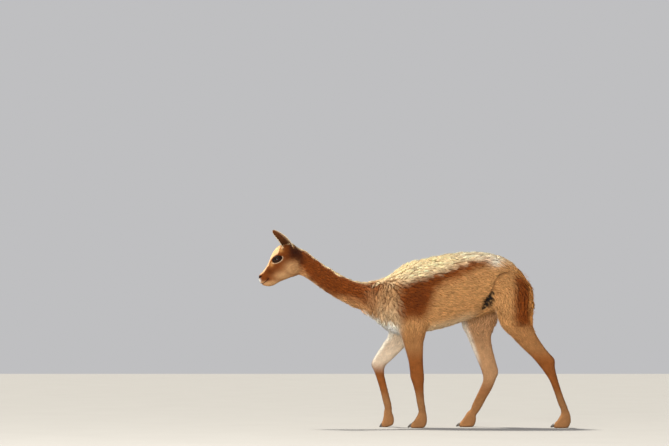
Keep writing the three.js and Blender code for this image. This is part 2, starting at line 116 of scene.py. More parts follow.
def light_scene():
    """One soft sun from behind, one large fill from the front, and a pale world."""
    sun = add_lamp("soft_sun", "SUN", (0, 0, 4), [-part for part in SUN["from"]])
    sun.energy = SUN["strength"]
    sun.angle = math.radians(SUN["angle"])
    sun.color = SUN["colour"]
    way = Vector(FILL["aim"]) - Vector(FILL["at"])
    fill = add_lamp("ground_fill", "AREA", FILL["at"], way)
    fill.size = FILL["size"]
    fill.energy = FILL["watts"]
    fill.color = FILL["colour"]
    world = bpy.data.worlds.new("studio")
    bpy.context.scene.world = world
    world.use_nodes = True
    back = world.node_tree.nodes["Background"]
    back.inputs["Color"].default_value = (*WORLD["colour"], 1)
    back.inputs["Strength"].default_value = WORLD["strength"]
    bpy.context.scene.view_settings.view_transform = "Standard"


light_scene()
print("lamps", len(bpy.data.lights))

# %% [markdown]
# ## Materials by node
# Every finish is made of nodes on a Principled shader. A few helpers keep each material short:
# one makes the shader, and others add noise, a ramp of colours or a bump. Image textures could
# carry the same detail, but nodes stay sharp at every distance.

# %% Start a material


def start_material(name, roughness=0.8):
    """An empty material with one Principled shader, whose plain numbers can be set."""
    material = bpy.data.materials.new(name)
    material.use_nodes = True
    tree = material.node_tree
    shader = tree.nodes["Principled BSDF"]
    shader.inputs["Roughness"].default_value = roughness
    return material, tree, shader


def linear(*srgb):
    """An 8 bit colour as linear light: ((c + 0.055) / 1.055) ** 2.4 above the toe."""
    c = np.array(srgb, float) / 255.0
    return np.where(c <= 0.04045, c / 12.92, ((c + 0.055) / 1.055) ** 2.4)


print("middle grey in linear light", linear(128, 128, 128).round(3))

# %% Noise, ramp and bump


def add_noise(tree, scale, detail=3.0):
    """A noise texture on Object coordinates."""
    place = tree.nodes.new("ShaderNodeTexCoord")
    noise = tree.nodes.new("ShaderNodeTexNoise")
    noise.inputs["Scale"].default_value = scale
    noise.inputs["Detail"].default_value = detail
    tree.links.new(place.outputs["Object"], noise.inputs["Vector"])
    return noise


def add_ramp(tree, value, first, last, low=0.0, high=1.0):
    """A ramp from a first colour at low to a last one at high, driven by a value."""
    ramp = tree.nodes.new("ShaderNodeValToRGB")
    ramp.color_ramp.elements[0].position = low
    ramp.color_ramp.elements[0].color = first
    ramp.color_ramp.elements[1].position = high
    ramp.color_ramp.elements[1].color = last
    tree.links.new(value, ramp.inputs["Fac"])
    return ramp.outputs["Color"]


def add_bump(tree, shader, height, strength, distance):
    """A bump that lifts the surface by a height between 0 and 1 times distance."""
    bump = tree.nodes.new("ShaderNodeBump")
    bump.inputs["Strength"].default_value = strength
    bump.inputs["Distance"].default_value = distance
    tree.links.new(height, bump.inputs["Height"])
    tree.links.new(bump.outputs["Normal"], shader.inputs["Normal"])
    return bump


print("node helpers", add_noise.__name__, add_ramp.__name__, add_bump.__name__)

# %% [markdown]
# ## Floor
# The feet need something to stand on and to throw their shadows on. A modelled floor would take
# the eye off the coat, so this is one flat sheet whose pale tone drifts a little.

# %% Floor
FLOOR_HALF = 14.0
FLOOR_TONES = ((0.275, 0.27, 0.262, 1), (0.30, 0.295, 0.286, 1))


def floor_material():
    """A matt pale grey whose tone drifts slowly from place to place."""
    material, tree, shader = start_material("pale_floor", 0.9)
    noise = add_noise(tree, 3.0)
    tone = add_ramp(tree, noise.outputs["Fac"], *FLOOR_TONES)
    tree.links.new(tone, shader.inputs["Base Color"])
    return material


def make_floor():
    """A flat sheet at height zero."""
    mesh = bpy.data.meshes.new("floor")
    h = FLOOR_HALF
    corners = [(-h, -h, 0), (h, -h, 0), (h, h, 0), (-h, h, 0)]
    mesh.from_pydata(corners, [], [(0, 1, 2, 3)])
    mesh.materials.append(floor_material())
    floor = add_object("floor", mesh)
    return floor


floor = make_floor()
print("floor", floor.name)

# %% [markdown]
# ## The body as profile tables
# A body is easy to describe as rounded sections strung between two outlines. Each row below is
# one section: the x and z of its upper or front end, the x and z of its lower or rear end, and
# its half width, all in millimetres. A smooth curve through the rows gives every section
# between them. It could be modelled by hand, but a row can be read, checked and changed.

# %% Trunk tables
TORSO = [
    (-229, 712, -229, 614, 42), (-192, 749, -187, 546, 81), (-151, 777, -146, 515, 104),
    (-99, 811, -94, 491, 120), (-26, 853, -21, 486, 130), (78, 880, 78, 494, 135),
    (182, 900, 182, 521, 138), (286, 908, 281, 554, 134), (380, 903, 364, 580, 125),
    (458, 879, 432, 598, 114), (520, 837, 489, 614, 99), (567, 788, 530, 629, 75),
    (594, 738, 556, 650, 42),
]
NECK = [
    (-616, 939, -645, 816, 47), (-572, 921, -607, 790, 49), (-525, 885, -569, 773, 46),
    (-473, 846, -525, 742, 46), (-416, 811, -471, 704, 47), (-359, 778, -408, 667, 50),
    (-307, 759, -341, 633, 55), (-255, 754, -273, 604, 66), (-198, 764, -208, 564, 83),
    (-125, 785, -135, 525, 104),
]
HEAD = [
    (-597, 922, -590, 826, 36), (-645, 959, -611, 789, 50), (-679, 954, -642, 778, 54),
    (-712, 940, -673, 766, 55), (-736, 913, -699, 756, 52), (-754, 875, -720, 744, 44),
    (-766, 846, -738, 734, 35), (-784, 819, -758, 730, 29), (-800, 801, -778, 733, 24),
    (-810, 790, -796, 741, 21), (-815, 777, -806, 752, 14),
]
TAIL = [
    (508, 836, 484, 806, 16), (556, 800, 530, 780, 24), (588, 757, 558, 746, 28),
    (603, 712, 572, 708, 31), (609, 660, 574, 658, 32), (609, 600, 575, 600, 30),
    (604, 545, 578, 548, 22), (598, 510, 584, 512, 9),
]
print("rows of the trunk", sum(map(len, (TORSO, NECK, HEAD, TAIL))))

# %% [markdown]
# ## Leg tables
# Each leg of a walking animal bends in its own way and has its own rows, from hip or shoulder
# down to the pastern. A mirrored table would be shorter, but each pair would step together.

# %% Leg tables
HIND_LEFT = [
    (425, 775, 525, 795, 20), (385, 722, 586, 740, 41), (403, 660, 604, 676, 49),
    (416, 588, 603, 598, 47), (442, 520, 605, 525, 40), (491, 471, 621, 484, 32),
    (546, 413, 650, 437, 27), (598, 364, 685, 393, 23), (632, 325, 718, 355, 24),
    (660, 289, 721, 312, 23), (689, 244, 733, 260, 20), (710, 192, 750, 203, 18),
    (728, 140, 769, 148, 18), (744, 91, 790, 96, 19), (756, 58, 797, 56, 17),
]
HIND_RIGHT = [
    (300, 775, 420, 795, 20), (262, 702, 484, 745, 42), (247, 614, 458, 640, 49),
    (244, 541, 432, 546, 46), (274, 473, 402, 473, 38), (298, 413, 409, 408, 31),
    (325, 348, 424, 348, 25), (349, 286, 438, 287, 24), (355, 244, 426, 250, 23),
    (338, 200, 403, 195, 20), (315, 153, 374, 146, 18), (292, 104, 347, 96, 18),
    (276, 60, 316, 52, 17),
]
FORE_RIGHT = [
    (-120, 690, 20, 700, 24), (-143, 545, 30, 520, 43), (-135, 481, -26, 442, 38),
    (-166, 434, -70, 395, 31), (-198, 386, -112, 354, 27), (-221, 348, -145, 324, 25),
    (-227, 322, -156, 302, 24), (-212, 286, -157, 273, 21), (-198, 244, -150, 239, 19),
    (-183, 192, -138, 192, 17), (-170, 140, -126, 143, 17), (-160, 99, -116, 101, 19),
    (-152, 68, -116, 64, 17),
]
FORE_LEFT = [
    (-90, 700, 30, 700, 24), (-104, 560, 62, 545, 43), (-75, 463, 44, 447, 38),
    (-55, 400, 41, 390, 30), (-39, 343, 41, 335, 25), (-32, 296, 44, 291, 25),
    (-29, 263, 46, 255, 24), (-16, 224, 44, 216, 21), (-4, 177, 45, 172, 18),
    (4, 130, 49, 127, 17), (10, 88, 56, 88, 19), (14, 58, 54, 56, 17),
]
print("rows of the legs", sum(map(len, (HIND_LEFT, HIND_RIGHT, FORE_LEFT, FORE_RIGHT))))

# %% [markdown]
# ## Toes, nails and ears
# A vicuna stands on two toes, each with a nail. All eight are alike, so one table serves them,
# measured from the tip of the toe, with a sixth column for how far out the toe lies. The ears
# are one table too, laid to both sides of the head.

# %% Toe, nail and ear tables
TOE = [
    (44, 84, 88, 84, 12, 4), (36, 62, 93, 58, 14, 8), (27, 46, 92, 26, 15, 11),
    (20, 36, 76, 0, 15, 12.5), (12, 28, 42, -4, 14.5, 13.5), (5, 20, 16, -3, 12, 14.5),
    (1, 12, 4, 2, 6, 15),
]
NAIL = [
    (24, 27, 27, 15, 5, 14), (10, 25, 13, 10, 7, 14.5), (-3, 16, 1, 5, 6, 15),
    (-11, 6, -10, 2.5, 2, 15.5),
]
EAR = [
    (-628, 922, -664, 898, 11), (-640, 952, -684, 926, 16), (-656, 975, -699, 951, 17),
    (-672, 990, -712, 970, 15), (-693, 1006, -727, 989, 12), (-715, 1018, -738, 1005, 7),
    (-731, 1024, -741, 1018, 3),
]
print("rows of toe, nail and ear", sum(map(len, (TOE, NAIL, EAR))))

# %% [markdown]
# ## A smooth loft
# The rows are joined by a Catmull-Rom curve, which passes through every row. Round each section
# runs a superellipse: an oval whose corners fill out as its power rises. Blender's curves
# could be skinned alike, but arrays give every point at once. `inset` draws the whole surface
# in, which leaves room for the wool.

# %% A curve through the rows


def spline(table, count):
    """Catmull-Rom through the rows: half of (2 b + (c - a) t + (2 a - 5 b + 4 c - d) t^2
    + (3 b - a - 3 c + d) t^3), with the end rows mirrored outward."""
    rows = np.array(table, float)
    padded = np.vstack([2 * rows[0] - rows[1], rows, 2 * rows[-1] - rows[-2]])
    place = np.linspace(0, len(rows) - 1, count)
    start = np.minimum(place.astype(int), len(rows) - 2)
    t = (place - start)[:, None]
    a, b, c, d = (padded[start + step] for step in range(4))
    return 0.5 * (2 * b + (c - a) * t + (2 * a - 5 * b + 4 * c - d) * t**2
                  + (3 * b - a - 3 * c + d) * t**3)


print("torso sections between the rows", len(spline(TORSO, 90)))

# %% Sections of a loft
LEAST_HALF = 2.0


def signed_power(value, power):
    """The power of the size with the value's own sign."""
    return np.sign(value) * np.abs(value) ** power


def loft(table, rings, sides, square=2.2, keel=0.0, inset=0.0, y=0.0):
    """Ring r, side s: middle + rise cos(angle)^(2/square) + width sin(angle)^(2/square) in y,
    the width wider above by keel. Returns a grid of points in millimetres."""
    rows = spline(table, rings)
    top = rows[:, 0:2]
    bottom = rows[:, 2:4]
    middle = (top + bottom) / 2
    rise = (top - bottom) / 2
    length = np.linalg.norm(rise, axis=1, keepdims=True)
    rise = rise / length * np.maximum(length - inset, LEAST_HALF)
    width = np.maximum(rows[:, 4] - inset, LEAST_HALF)
    shift = rows[:, 5] if rows.shape[1] > 5 else np.zeros(rings)
    angle = np.linspace(0, 2 * np.pi, sides, endpoint=False)
    up = signed_power(np.cos(angle), 2 / square)
    out = signed_power(np.sin(angle), 2 / square) * (1 + keel * up)
    grid = np.zeros((rings, sides, 3))
    grid[:, :, 0] = middle[:, None, 0] + rise[:, None, 0] * up
    grid[:, :, 1] = y + shift[:, None] + width[:, None] * out
    grid[:, :, 2] = middle[:, None, 1] + rise[:, None, 1] * up
    return grid


print("torso grid", loft(TORSO, 90, 96).shape)

# %% Faces of a grid


def grid_faces(rings, sides, start=0):
    """Quads between neighbouring rings, and a triangle fan to a centre point at each end."""
    ring, side = np.meshgrid(np.arange(rings - 1), np.arange(sides), indexing="ij")
    a = start + ring * sides + side
    b = start + ring * sides + (side + 1) % sides
    quads = np.stack([a, b, b + sides, a + sides], -1).reshape(-1, 4)
    side = np.arange(sides)
    first = start + rings * sides
    last = start + (rings - 1) * sides
    near = np.stack([np.full(sides, first), start + (side + 1) % sides, start + side], -1)
    far = np.stack([np.full(sides, first + 1), last + side, last + (side + 1) % sides], -1)
    return quads.tolist() + near.tolist() + far.tolist()


def grid_points(grid):
    """The grid's points in a row, with the two end centres last."""
    ends = [grid[0].mean(0), grid[-1].mean(0)]
    return np.vstack([grid.reshape(-1, 3), ends])


print("faces of the torso grid", len(grid_faces(90, 96)))

# %% A mesh in the frame


def to_metres(points):
    """Millimetres of the tables to metres of the frame."""
    return points * MM + np.array([SHIFT_X, 0, 0])


def make_object(name, points, faces, smooth=True):
    """A mesh object from metres, with its faces turned outward."""
    mesh = bpy.data.meshes.new(name)
    mesh.from_pydata(points.tolist(), [], faces)
    work = bmesh.new()
    work.from_mesh(mesh)
    bmesh.ops.recalc_face_normals(work, faces=work.faces)
    work.to_mesh(mesh)
    work.free()
    mesh.polygons.foreach_set("use_smooth", np.full(len(mesh.polygons), smooth))
    return add_object(name, mesh)


print("the table's origin in the frame", to_metres(np.zeros(3)))

# %% [markdown]
# ## Where each leg stands
# A walking animal sets its feet close to the midline, while hips and stifles stand wider. The
# spread of a leg is how far out its middle lies at four heights, from the floor to the top.
# The same numbers serve skin, toes and nails, so that nothing drifts apart.

# %% Legs
LEGS = {
    "hindleg_left": {"side": -1, "fore": False, "table": HIND_LEFT, "top": 780,
                     "spread": (62, 68, 86, 58),
                     "foot": {"tip": 707, "pitch": 0, "lift": 0, "scale": 1, "long": 1}},
    "hindleg_right": {"side": 1, "fore": False, "table": HIND_RIGHT, "top": 780,
                      "spread": (62, 68, 86, 58),
                      "foot": {"tip": 226, "pitch": 0, "lift": 0, "scale": 1, "long": 1}},
    "foreleg_left": {"side": -1, "fore": True, "table": FORE_LEFT, "top": 700,
                     "spread": (58, 64, 70, 62),
                     "foot": {"tip": -30, "pitch": 0, "lift": 0, "scale": 0.95, "long": 0.96}},
    "foreleg_right": {"side": 1, "fore": True, "table": FORE_RIGHT, "top": 700,
                      "spread": (58, 64, 70, 62),
                      "foot": {"tip": -175, "pitch": 0.3, "lift": -6, "scale": 0.95,
                               "long": 0.86}},
}


def lateral(leg, z):
    """How far out the leg's middle lies at height z, smooth between four heights."""
    spread = np.array(leg["spread"], float)
    place = np.clip(z / leg["top"], 0, 1) * (len(spread) - 1)
    low = np.minimum(place.astype(int), len(spread) - 2)
    share = place - low
    ease = share * share * (3 - 2 * share)
    return leg["side"] * (spread[low] * (1 - ease) + spread[low + 1] * ease)


print("legs", list(LEGS))

# %% Feet


def foot_table(table, foot, splay):
    """A toe's or nail's rows, turned about the tip of the toe and splayed to one side."""
    rows = np.array(table, float)
    cos = math.cos(foot["pitch"])
    sin = math.sin(foot["pitch"])
    out = rows.copy()
    for column in (0, 2):
        x = rows[:, column] * np.where(rows[:, column] > 0, foot["long"], 1)
        z = rows[:, column + 1]
        out[:, column] = foot["tip"] + x * cos - z * sin
        out[:, column + 1] = x * sin + z * cos + foot["lift"]
    out[:, 4] *= foot["scale"]
    out[:, 5] *= foot["scale"] * splay
    return out


print("first toe row", foot_table(TOE, LEGS["hindleg_left"]["foot"], 1)[0])

# %% [markdown]
# ## One skin
# Loose lofts would show seams where a leg meets the flank. They are laid into one another,
# remeshed by voxels into a single closed surface, and then eased where the parts meet. Boolean
# joins would keep hard creases there. The skin lies inside the solids by the depth of the
# wool: much on the back, little on the face.

# %% Skin parts
DEPTH = {"torso": 11.0, "neck": 7.0, "head": 1.5, "tail": 10.0, "leg": 2.5, "toe": 1.0}
SHAPE = {"torso": {"square": 2.25, "keel": 0.06}, "neck": {"square": 2.1, "keel": 0.08},
         "head": {"square": 2.3, "keel": 0.12}, "tail": {"square": 2.1},
         "leg": {"square": 2.15}, "toe": {"square": 2.4}}
GRID = {"torso": (90, 96), "neck": (70, 72), "head": (90, 84), "tail": (50, 32),
        "leg": (120, 44), "toe": (34, 30)}
TRUNK = (("torso", TORSO, 1), ("neck", NECK, 1), ("head", HEAD, -1), ("tail", TAIL, 1))
SOLE_Z = 0.3


def part_loft(table, kind, y=0.0):
    """The loft of one part, drawn in by the depth of its coat."""
    rings, sides = GRID[kind]
    return loft(table, rings, sides, inset=DEPTH[kind], y=y, **SHAPE[kind])


def body_grids():
    """Every loft of the body by name, with the way its hair runs along the rings."""
    grids = {name: (part_loft(table, name), way) for name, table, way in TRUNK}
    for name, leg in LEGS.items():
        shaft = part_loft(leg["table"], "leg")
        shaft[:, :, 1] += lateral(leg, shaft[:, :, 2])
        grids[name] = (shaft, 1)
        foot_y = leg["side"] * leg["spread"][0]
        for splay in (-1, 1):
            toe = part_loft(foot_table(TOE, leg["foot"], splay), "toe", y=foot_y)
            toe[:, :, 2] = np.maximum(toe[:, :, 2], SOLE_Z)
            grids[f"{name}_toe_{splay}"] = (toe, 1)
    return grids


GRIDS = body_grids()
print("lofts", len(GRIDS))

# %% Fuse the lofts
VOXEL = 0.006


def fused_skin():
    """All the lofts laid into one another and remeshed into one closed surface."""
    points = []
    faces = []
    start = 0
    for grid, _ in GRIDS.values():
        rings, sides = grid.shape[:2]
        points.append(grid_points(grid))
        faces += grid_faces(rings, sides, start)
        start += rings * sides + 2
    rough = make_object("rough_body", to_metres(np.vstack(points)), faces)
    fuse = rough.modifiers.new("fuse", "REMESH")
    fuse.mode = "VOXEL"
    fuse.voxel_size = VOXEL
    graph = bpy.context.evaluated_depsgraph_get()
    mesh = bpy.data.meshes.new_from_object(rough.evaluated_get(graph))
    bpy.data.objects.remove(rough)
    return mesh


skin_mesh = fused_skin()
print("skin", len(skin_mesh.vertices), "points")

# %% [markdown]
# ## Smoothing in code
# Living skin runs over a joint without a step. A Smooth modifier would soften everything alike.
# Here each point moves towards the mean of its neighbours by a weight of its own. The same
# arrays serve to carve: a bell, or the distance to a line, says where.

# %% Points, edges and normals


def mesh_points(mesh):
    """A mesh's points as one array."""
    flat = np.empty(len(mesh.vertices) * 3)
    mesh.vertices.foreach_get("co", flat)
    return flat.reshape(-1, 3)


def mesh_edges(mesh):
    """A mesh's edges as one array."""
    flat = np.empty(len(mesh.edges) * 2, int)
    mesh.edges.foreach_get("vertices", flat)
    return flat.reshape(-1, 2)


def mesh_normals(mesh):
    """The normals at a mesh's points as one array."""
    flat = np.empty(len(mesh.vertices) * 3)
    mesh.vertices.foreach_get("normal", flat)
    return flat.reshape(-1, 3)


print("edges of the skin", len(mesh_edges(skin_mesh)))

# %% Ease towards the neighbours


def neighbour_mean(values, edges):
    """Each point's mean over the points that it shares an edge with."""
    total = np.zeros_like(values)
    for column in range(values.shape[1]):
        first = np.bincount(edges[:, 0], values[edges[:, 1], column], len(values))
        total[:, column] = first + np.bincount(edges[:, 1], values[edges[:, 0], column],
                                               len(values))
    count = np.bincount(edges.ravel(), minlength=len(values))
    return total / np.maximum(count, 1)[:, None]


def ease(points, edges, weight, rounds):
    """Moves each point a share of the way to its neighbours' mean, round after round."""
    for _ in range(rounds):
        points = points + weight * (neighbour_mean(points, edges) - points)
    return points


def fair(points, edges, rounds):
    """Evens out small steps without shrinking: one step in, a slightly longer one out."""
    for _ in range(rounds):
        points = points + 0.5 * (neighbour_mean(points, edges) - points)
        points = points - 0.52 * (neighbour_mean(points, edges) - points)
    return points


print("neighbours of a point, on average",
      round(2 * len(mesh_edges(skin_mesh)) / len(skin_mesh.vertices), 2))

# %% Bells and lines


def bell(points, centre, radius):
    """A smooth bell of height 1 at a centre: exp(-(distance / radius)^2)."""
    offset = (points - np.array(centre)) / np.array(radius)
    return np.exp(-(offset**2).sum(1))


def mirrored_bell(points, centre, radius):
    """The same bell on both sides of the midline."""
    other = (centre[0], -centre[1], centre[2])
    return bell(points, centre, radius) + bell(points, other, radius)


def line_distance(points, line):
    """Each point's shortest distance in side view to a polyline, and how far along it is."""
    best = np.full(len(points), 1e9)
    along = np.zeros(len(points))
    flat = points[:, [0, 2]]
    for index in range(len(line) - 1):
        start = line[index]
        step = line[index + 1] - start
        share = np.clip(((flat - start) @ step) / (step @ step), 0, 1)
        far = np.linalg.norm(flat - start - share[:, None] * step, axis=1)
        closer = far < best
        best[closer] = far[closer]
        along[closer] = (index + share[closer]) / (len(line) - 1)
    return best, along


print("bell at its centre", bell(np.zeros((1, 3)), (0, 0, 0), (1, 1, 1)))

# %% [markdown]
# ## Joins, groin and the fold over the hip
# Flesh fills the corners between thigh and flank and between shoulder and chest, so the skin
# is eased there. Then two valleys are carved: the bare hollow of the groin, and the fold that
# runs down from the hip. They could be sculpted by hand, but a line, a depth and a width can
# be changed and run again.

# %% Ease the joins
HIP_CREASE = np.array([(470, 803), (446, 798), (426, 785), (411, 762), (402, 742), (390, 705)],
                      float)
GROIN_LINE = np.array([(394, 694), (374, 658), (352, 618)], float)
JOINS = [((420, 95, 640), (150, 60, 110)), ((330, 95, 600), (130, 60, 110)),
         ((-20, 90, 560), (120, 60, 90)), ((-90, 90, 540), (120, 60, 90)),
         ((-230, 50, 650), (70, 90, 130)), ((-620, 40, 860), (30, 60, 80)),
         ((540, 30, 780), (60, 60, 70)), ((752, 62, 82), (34, 30, 26)),
         ((271, 62, 82), (34, 30, 26)), ((8, 58, 80), (34, 30, 26)),
         ((-138, 58, 80), (30, 30, 26))]
JOIN_EASE = {"share": 0.6, "rounds": 26}
FAIR_ROUNDS = 8


def to_millimetres(points):
    """Metres of the frame to millimetres of the tables."""
    return (points - np.array([SHIFT_X, 0, 0])) / MM


def eased_body(mesh):
    """Fairs the whole skin and eases the places where two lofts meet."""
    edges = mesh_edges(mesh)
    points = fair(mesh_points(mesh), edges, FAIR_ROUNDS)
    place = to_millimetres(points)
    weight = sum(mirrored_bell(place, centre, radius) for centre, radius in JOINS)
    share = JOIN_EASE["share"] * np.clip(weight, 0, 1)[:, None]
    return ease(points, edges, share, JOIN_EASE["rounds"])


body_points = eased_body(skin_mesh)
print("joins eased", len(JOINS))

# %% Carve the flank
VALLEYS = ((GROIN_LINE, 15.0, 19.0), (HIP_CREASE, 6.0, 6.5))  # line, depth and width
FLANK_FROM = 45.0  # nothing nearer to the midline belongs to the flank


def carve_flank(points, normal):
    """Each valley sinks along the normal, and its depth falls off from a line in side view
    as exp(-(distance / width)^2)."""
    place = to_millimetres(points)
    depth = sum(deep * np.exp(-(line_distance(place, line)[0] / wide) ** 2)
                for line, deep, wide in VALLEYS)
    depth = depth * (np.abs(place[:, 1]) > FLANK_FROM)
    return points - normal * depth[:, None] * MM


body_points = carve_flank(body_points, mesh_normals(skin_mesh))
skin_mesh.vertices.foreach_set("co", body_points.ravel())
skin_mesh.update()
print("valleys carved", len(VALLEYS))

# %% [markdown]
# ## A finer head
# The face has lids, nostrils and lips a few millimetres across, which a voxel skin is too
# coarse for. Finer voxels everywhere would cost millions of faces, so only the head's faces are
# split once, and those round the eyes and on the muzzle once more.

# %% Refine the head
EYE = {"x": -715.0, "y": 36.0, "z": 870.0, "radius": 22.0}
HEAD_FROM = -575
MUZZLE_FROM = -742
EYE_ZONE = {"y": 48, "radius": (44, 30, 38), "least": 0.25}


def near_face(centres, round_number):
    """Faces to split: all of the head, then those round the eyes and on the muzzle."""
    if round_number == 0:
        return centres[:, 0] < HEAD_FROM
    middle = (EYE["x"], EYE_ZONE["y"], EYE["z"])
    eyes = mirrored_bell(centres, middle, EYE_ZONE["radius"]) > EYE_ZONE["least"]
    return eyes | (centres[:, 0] < MUZZLE_FROM)


def refine(mesh):
    """Splits the chosen faces in four, twice."""
    for round_number in range(2):
        work = bmesh.new()
        work.from_mesh(mesh)
        work.faces.ensure_lookup_table()
        centres = np.array([face.calc_center_median() for face in work.faces])
        chosen = near_face(to_millimetres(centres), round_number)
        edges = {edge for index in np.flatnonzero(chosen) for edge in work.faces[index].edges}
        bmesh.ops.subdivide_edges(work, edges=list(edges), cuts=1, use_grid_fill=True)
        bmesh.ops.triangulate(work, faces=[f for f in work.faces if len(f.verts) > 4])
        work.to_mesh(mesh)
        work.free()


refine(skin_mesh)
print("skin after refining", len(skin_mesh.vertices), "points")

# %% [markdown]
# ## The bones of the face
# Under thin skin the skull shows: brow, cheekbone, the hollow before the eye, the jaw, and the
# swell of the lips. Each is a bell that pushes the skin out or in along its normal, which is
# what a sculptor's thumb does, and the table can be read and tuned.

# %% Bones
BONES = [  # centre, radius, outward push in millimetres
    ((-706, 44, 897), (26, 20, 14), 3.2), ((-700, 52, 846), (34, 18, 12), 2.4),
    ((-742, 30, 858), (18, 16, 16), -2.2), ((-655, 52, 812), (36, 26, 30), 2.6),
    ((-668, 50, 900), (24, 20, 22), -1.8), ((-778, 24, 790), (18, 14, 14), -1.2),
    ((-799, 12, 790), (12, 10, 8), 1.4), ((-796, 14, 757), (14, 12, 9), 2.0),
    ((-776, 12, 737), (13, 12, 7), 1.8),
]
print("bones and swells", len(BONES))

# %% [markdown]
# ## Mouth and nostrils
# The mouth is a groove between two soft lips, the upper lip is split on the midline, and each
# nostril is a slanting comma. They could be cut out, but a vicuna's closed mouth and narrow
# nostrils hide their depth, so grooves and bowls in the one skin are enough.

# %% Mouth and split lip
MOUTH = np.array([(-814, 741), (-798, 743), (-785, 748), (-772, 758), (-760, 772)], float)
MOUTH_FORM = {"deep": 4.0, "groove": 1.7, "swell": 1.5, "swell_at": 6.5, "swell_wide": 3.2,
              "until": -745, "fade": 1.15}
SPLIT_LIP = {"x": -812, "z": 762, "long": 14, "high": 12, "deep": 3.0, "wide": 2.0}


def mouth_push(points):
    """A groove 4 mm deep along the mouth, between two lips that swell by 1.5 mm. Both fade
    towards the corner of the mouth."""
    far, along = line_distance(points, MOUTH)
    fade = np.clip(MOUTH_FORM["fade"] - along, 0, 1) * (points[:, 0] < MOUTH_FORM["until"])
    groove = -MOUTH_FORM["deep"] * np.exp(-(far / MOUTH_FORM["groove"]) ** 2)
    swell = np.exp(-((far - MOUTH_FORM["swell_at"]) / MOUTH_FORM["swell_wide"]) ** 2)
    return groove * np.sqrt(fade) + MOUTH_FORM["swell"] * swell * fade


def split_lip_push(points):
    """The split of the upper lip: a 3 mm groove on the midline below the nose."""
    front = np.exp(-((points[:, 0] - SPLIT_LIP["x"]) / SPLIT_LIP["long"]) ** 2
                   - ((points[:, 2] - SPLIT_LIP["z"]) / SPLIT_LIP["high"]) ** 2)
    return -SPLIT_LIP["deep"] * front * np.exp(-(points[:, 1] / SPLIT_LIP["wide"]) ** 2)


print("mouth line", len(MOUTH), "points")

# %% Nostrils
NOSTRIL = {"at": (-805.0, 13.0, 780.0), "long": 8.5, "high": 4.0, "turn": 0.75, "deep": 8.0,
           "curl": 0.25, "slant": 0.3, "steep": 1.5}


def nostril_place(points):
    """How deep in the nostril a point lies: 1 in the middle, 0 at the rim and beyond. It is
    exp(-((run / long)^2 + (high / height)^2)^1.5), on axes turned with the comma."""
    x, y, z = NOSTRIL["at"]
    dx = points[:, 0] - x
    dy = np.abs(points[:, 1]) - y
    dz = points[:, 2] - z
    cos = math.cos(NOSTRIL["turn"])
    sin = math.sin(NOSTRIL["turn"])
    run = np.where(np.abs(dx) > np.abs(dy), dx, dy) * cos + dz * sin
    high = -np.hypot(dx, dy) * NOSTRIL["curl"] * np.sign(dx)
    high = high - dx * sin * NOSTRIL["slant"] + dz * cos
    oval = (run / NOSTRIL["long"]) ** 2 + (high / NOSTRIL["high"]) ** 2
    return np.exp(-oval ** NOSTRIL["steep"])


print("nostril", NOSTRIL["long"], "by", NOSTRIL["high"], "mm")

# %% [markdown]
# ## Eye bowls and lids
# A large dark ball fills the eye, and the lids lie tight on it. Lids could be separate shells,
# but a gap would show at their edge. Here the skin itself is drawn onto a sphere a little
# larger than the eyeball, and inside the almond it drops behind the ball.

# %% Eye frame
EYE_LOOK = (-0.26, 1.0, 0.05)
EYE_LEAN = 0.36


def eye_frame(side):
    """The eye's centre, its long axis, its up axis and the way it looks."""
    look = np.array([EYE_LOOK[0], side * EYE_LOOK[1], EYE_LOOK[2]])
    look /= np.linalg.norm(look)
    long_axis = np.array([math.cos(EYE_LEAN), 0.0, math.sin(EYE_LEAN)])
    long_axis -= look * (look @ long_axis)
    long_axis /= np.linalg.norm(long_axis)
    up = np.cross(long_axis, look)
    up *= np.sign(up[2])
    return np.array([EYE["x"], side * EYE["y"], EYE["z"]]), long_axis, up, look


print("the left eye looks along", eye_frame(-1)[3].round(2))

# %% Lids
LID_LONG = 19.8
LID_HIGH = 12.2
LID = {"behind": -4, "reach": 44, "sunk": 3.5, "proud": 1.6, "blend": 0.38}


def set_lids(points, side):
    """Draws the skin round one eye onto the eyeball. In the almond it drops 3.5 mm into the
    ball, at the rim it lies 1.6 mm proud, and further out it blends back into the face."""
    centre, long_axis, up, look = eye_frame(side)
    offset = points - centre
    p = offset @ long_axis
    q = offset @ up
    r = offset @ look
    near = (r > LID["behind"]) & (np.hypot(p, q) < LID["reach"])
    almond = np.hypot(p / LID_LONG, q / LID_HIGH)
    far = np.linalg.norm(offset, axis=1)
    way = offset / np.maximum(far, 1e-6)[:, None]
    radius = EYE["radius"]
    inside = near & (almond < 1.0)
    moved = points.copy()
    moved[inside] = centre + way[inside] * (radius - LID["sunk"])
    rim = near & ~inside
    blend = np.exp(-((almond - 1.0) / LID["blend"]) ** 2)
    target = centre + way * (radius + LID["proud"])
    moved[rim] = (points + blend[:, None] * (target - points))[rim]
    return moved


print("lids", 2 * LID_LONG, "by", 2 * LID_HIGH, "mm")

# %% Sculpt the face
FACE = {"from": -590, "fade": 20, "ease": 0.5, "rounds": 3}


def sculpt_face(mesh):
    """Moves the head's points by every feature in turn."""
    edges = mesh_edges(mesh)
    points = to_millimetres(mesh_points(mesh))
    normal = mesh_normals(mesh)
    head = np.clip((FACE["from"] - points[:, 0]) / FACE["fade"], 0, 1)[:, None]
    points = ease(points, edges, FACE["ease"] * head, FACE["rounds"])
    push = sum(amount * mirrored_bell(points, centre, radius)
               for centre, radius, amount in BONES)
    points = points + head * normal * push[:, None]
    for side in (-1, 1):
        points = set_lids(points, side)
    push = mouth_push(points) + split_lip_push(points) - NOSTRIL["deep"] * nostril_place(points)
    return points + head * normal * push[:, None]


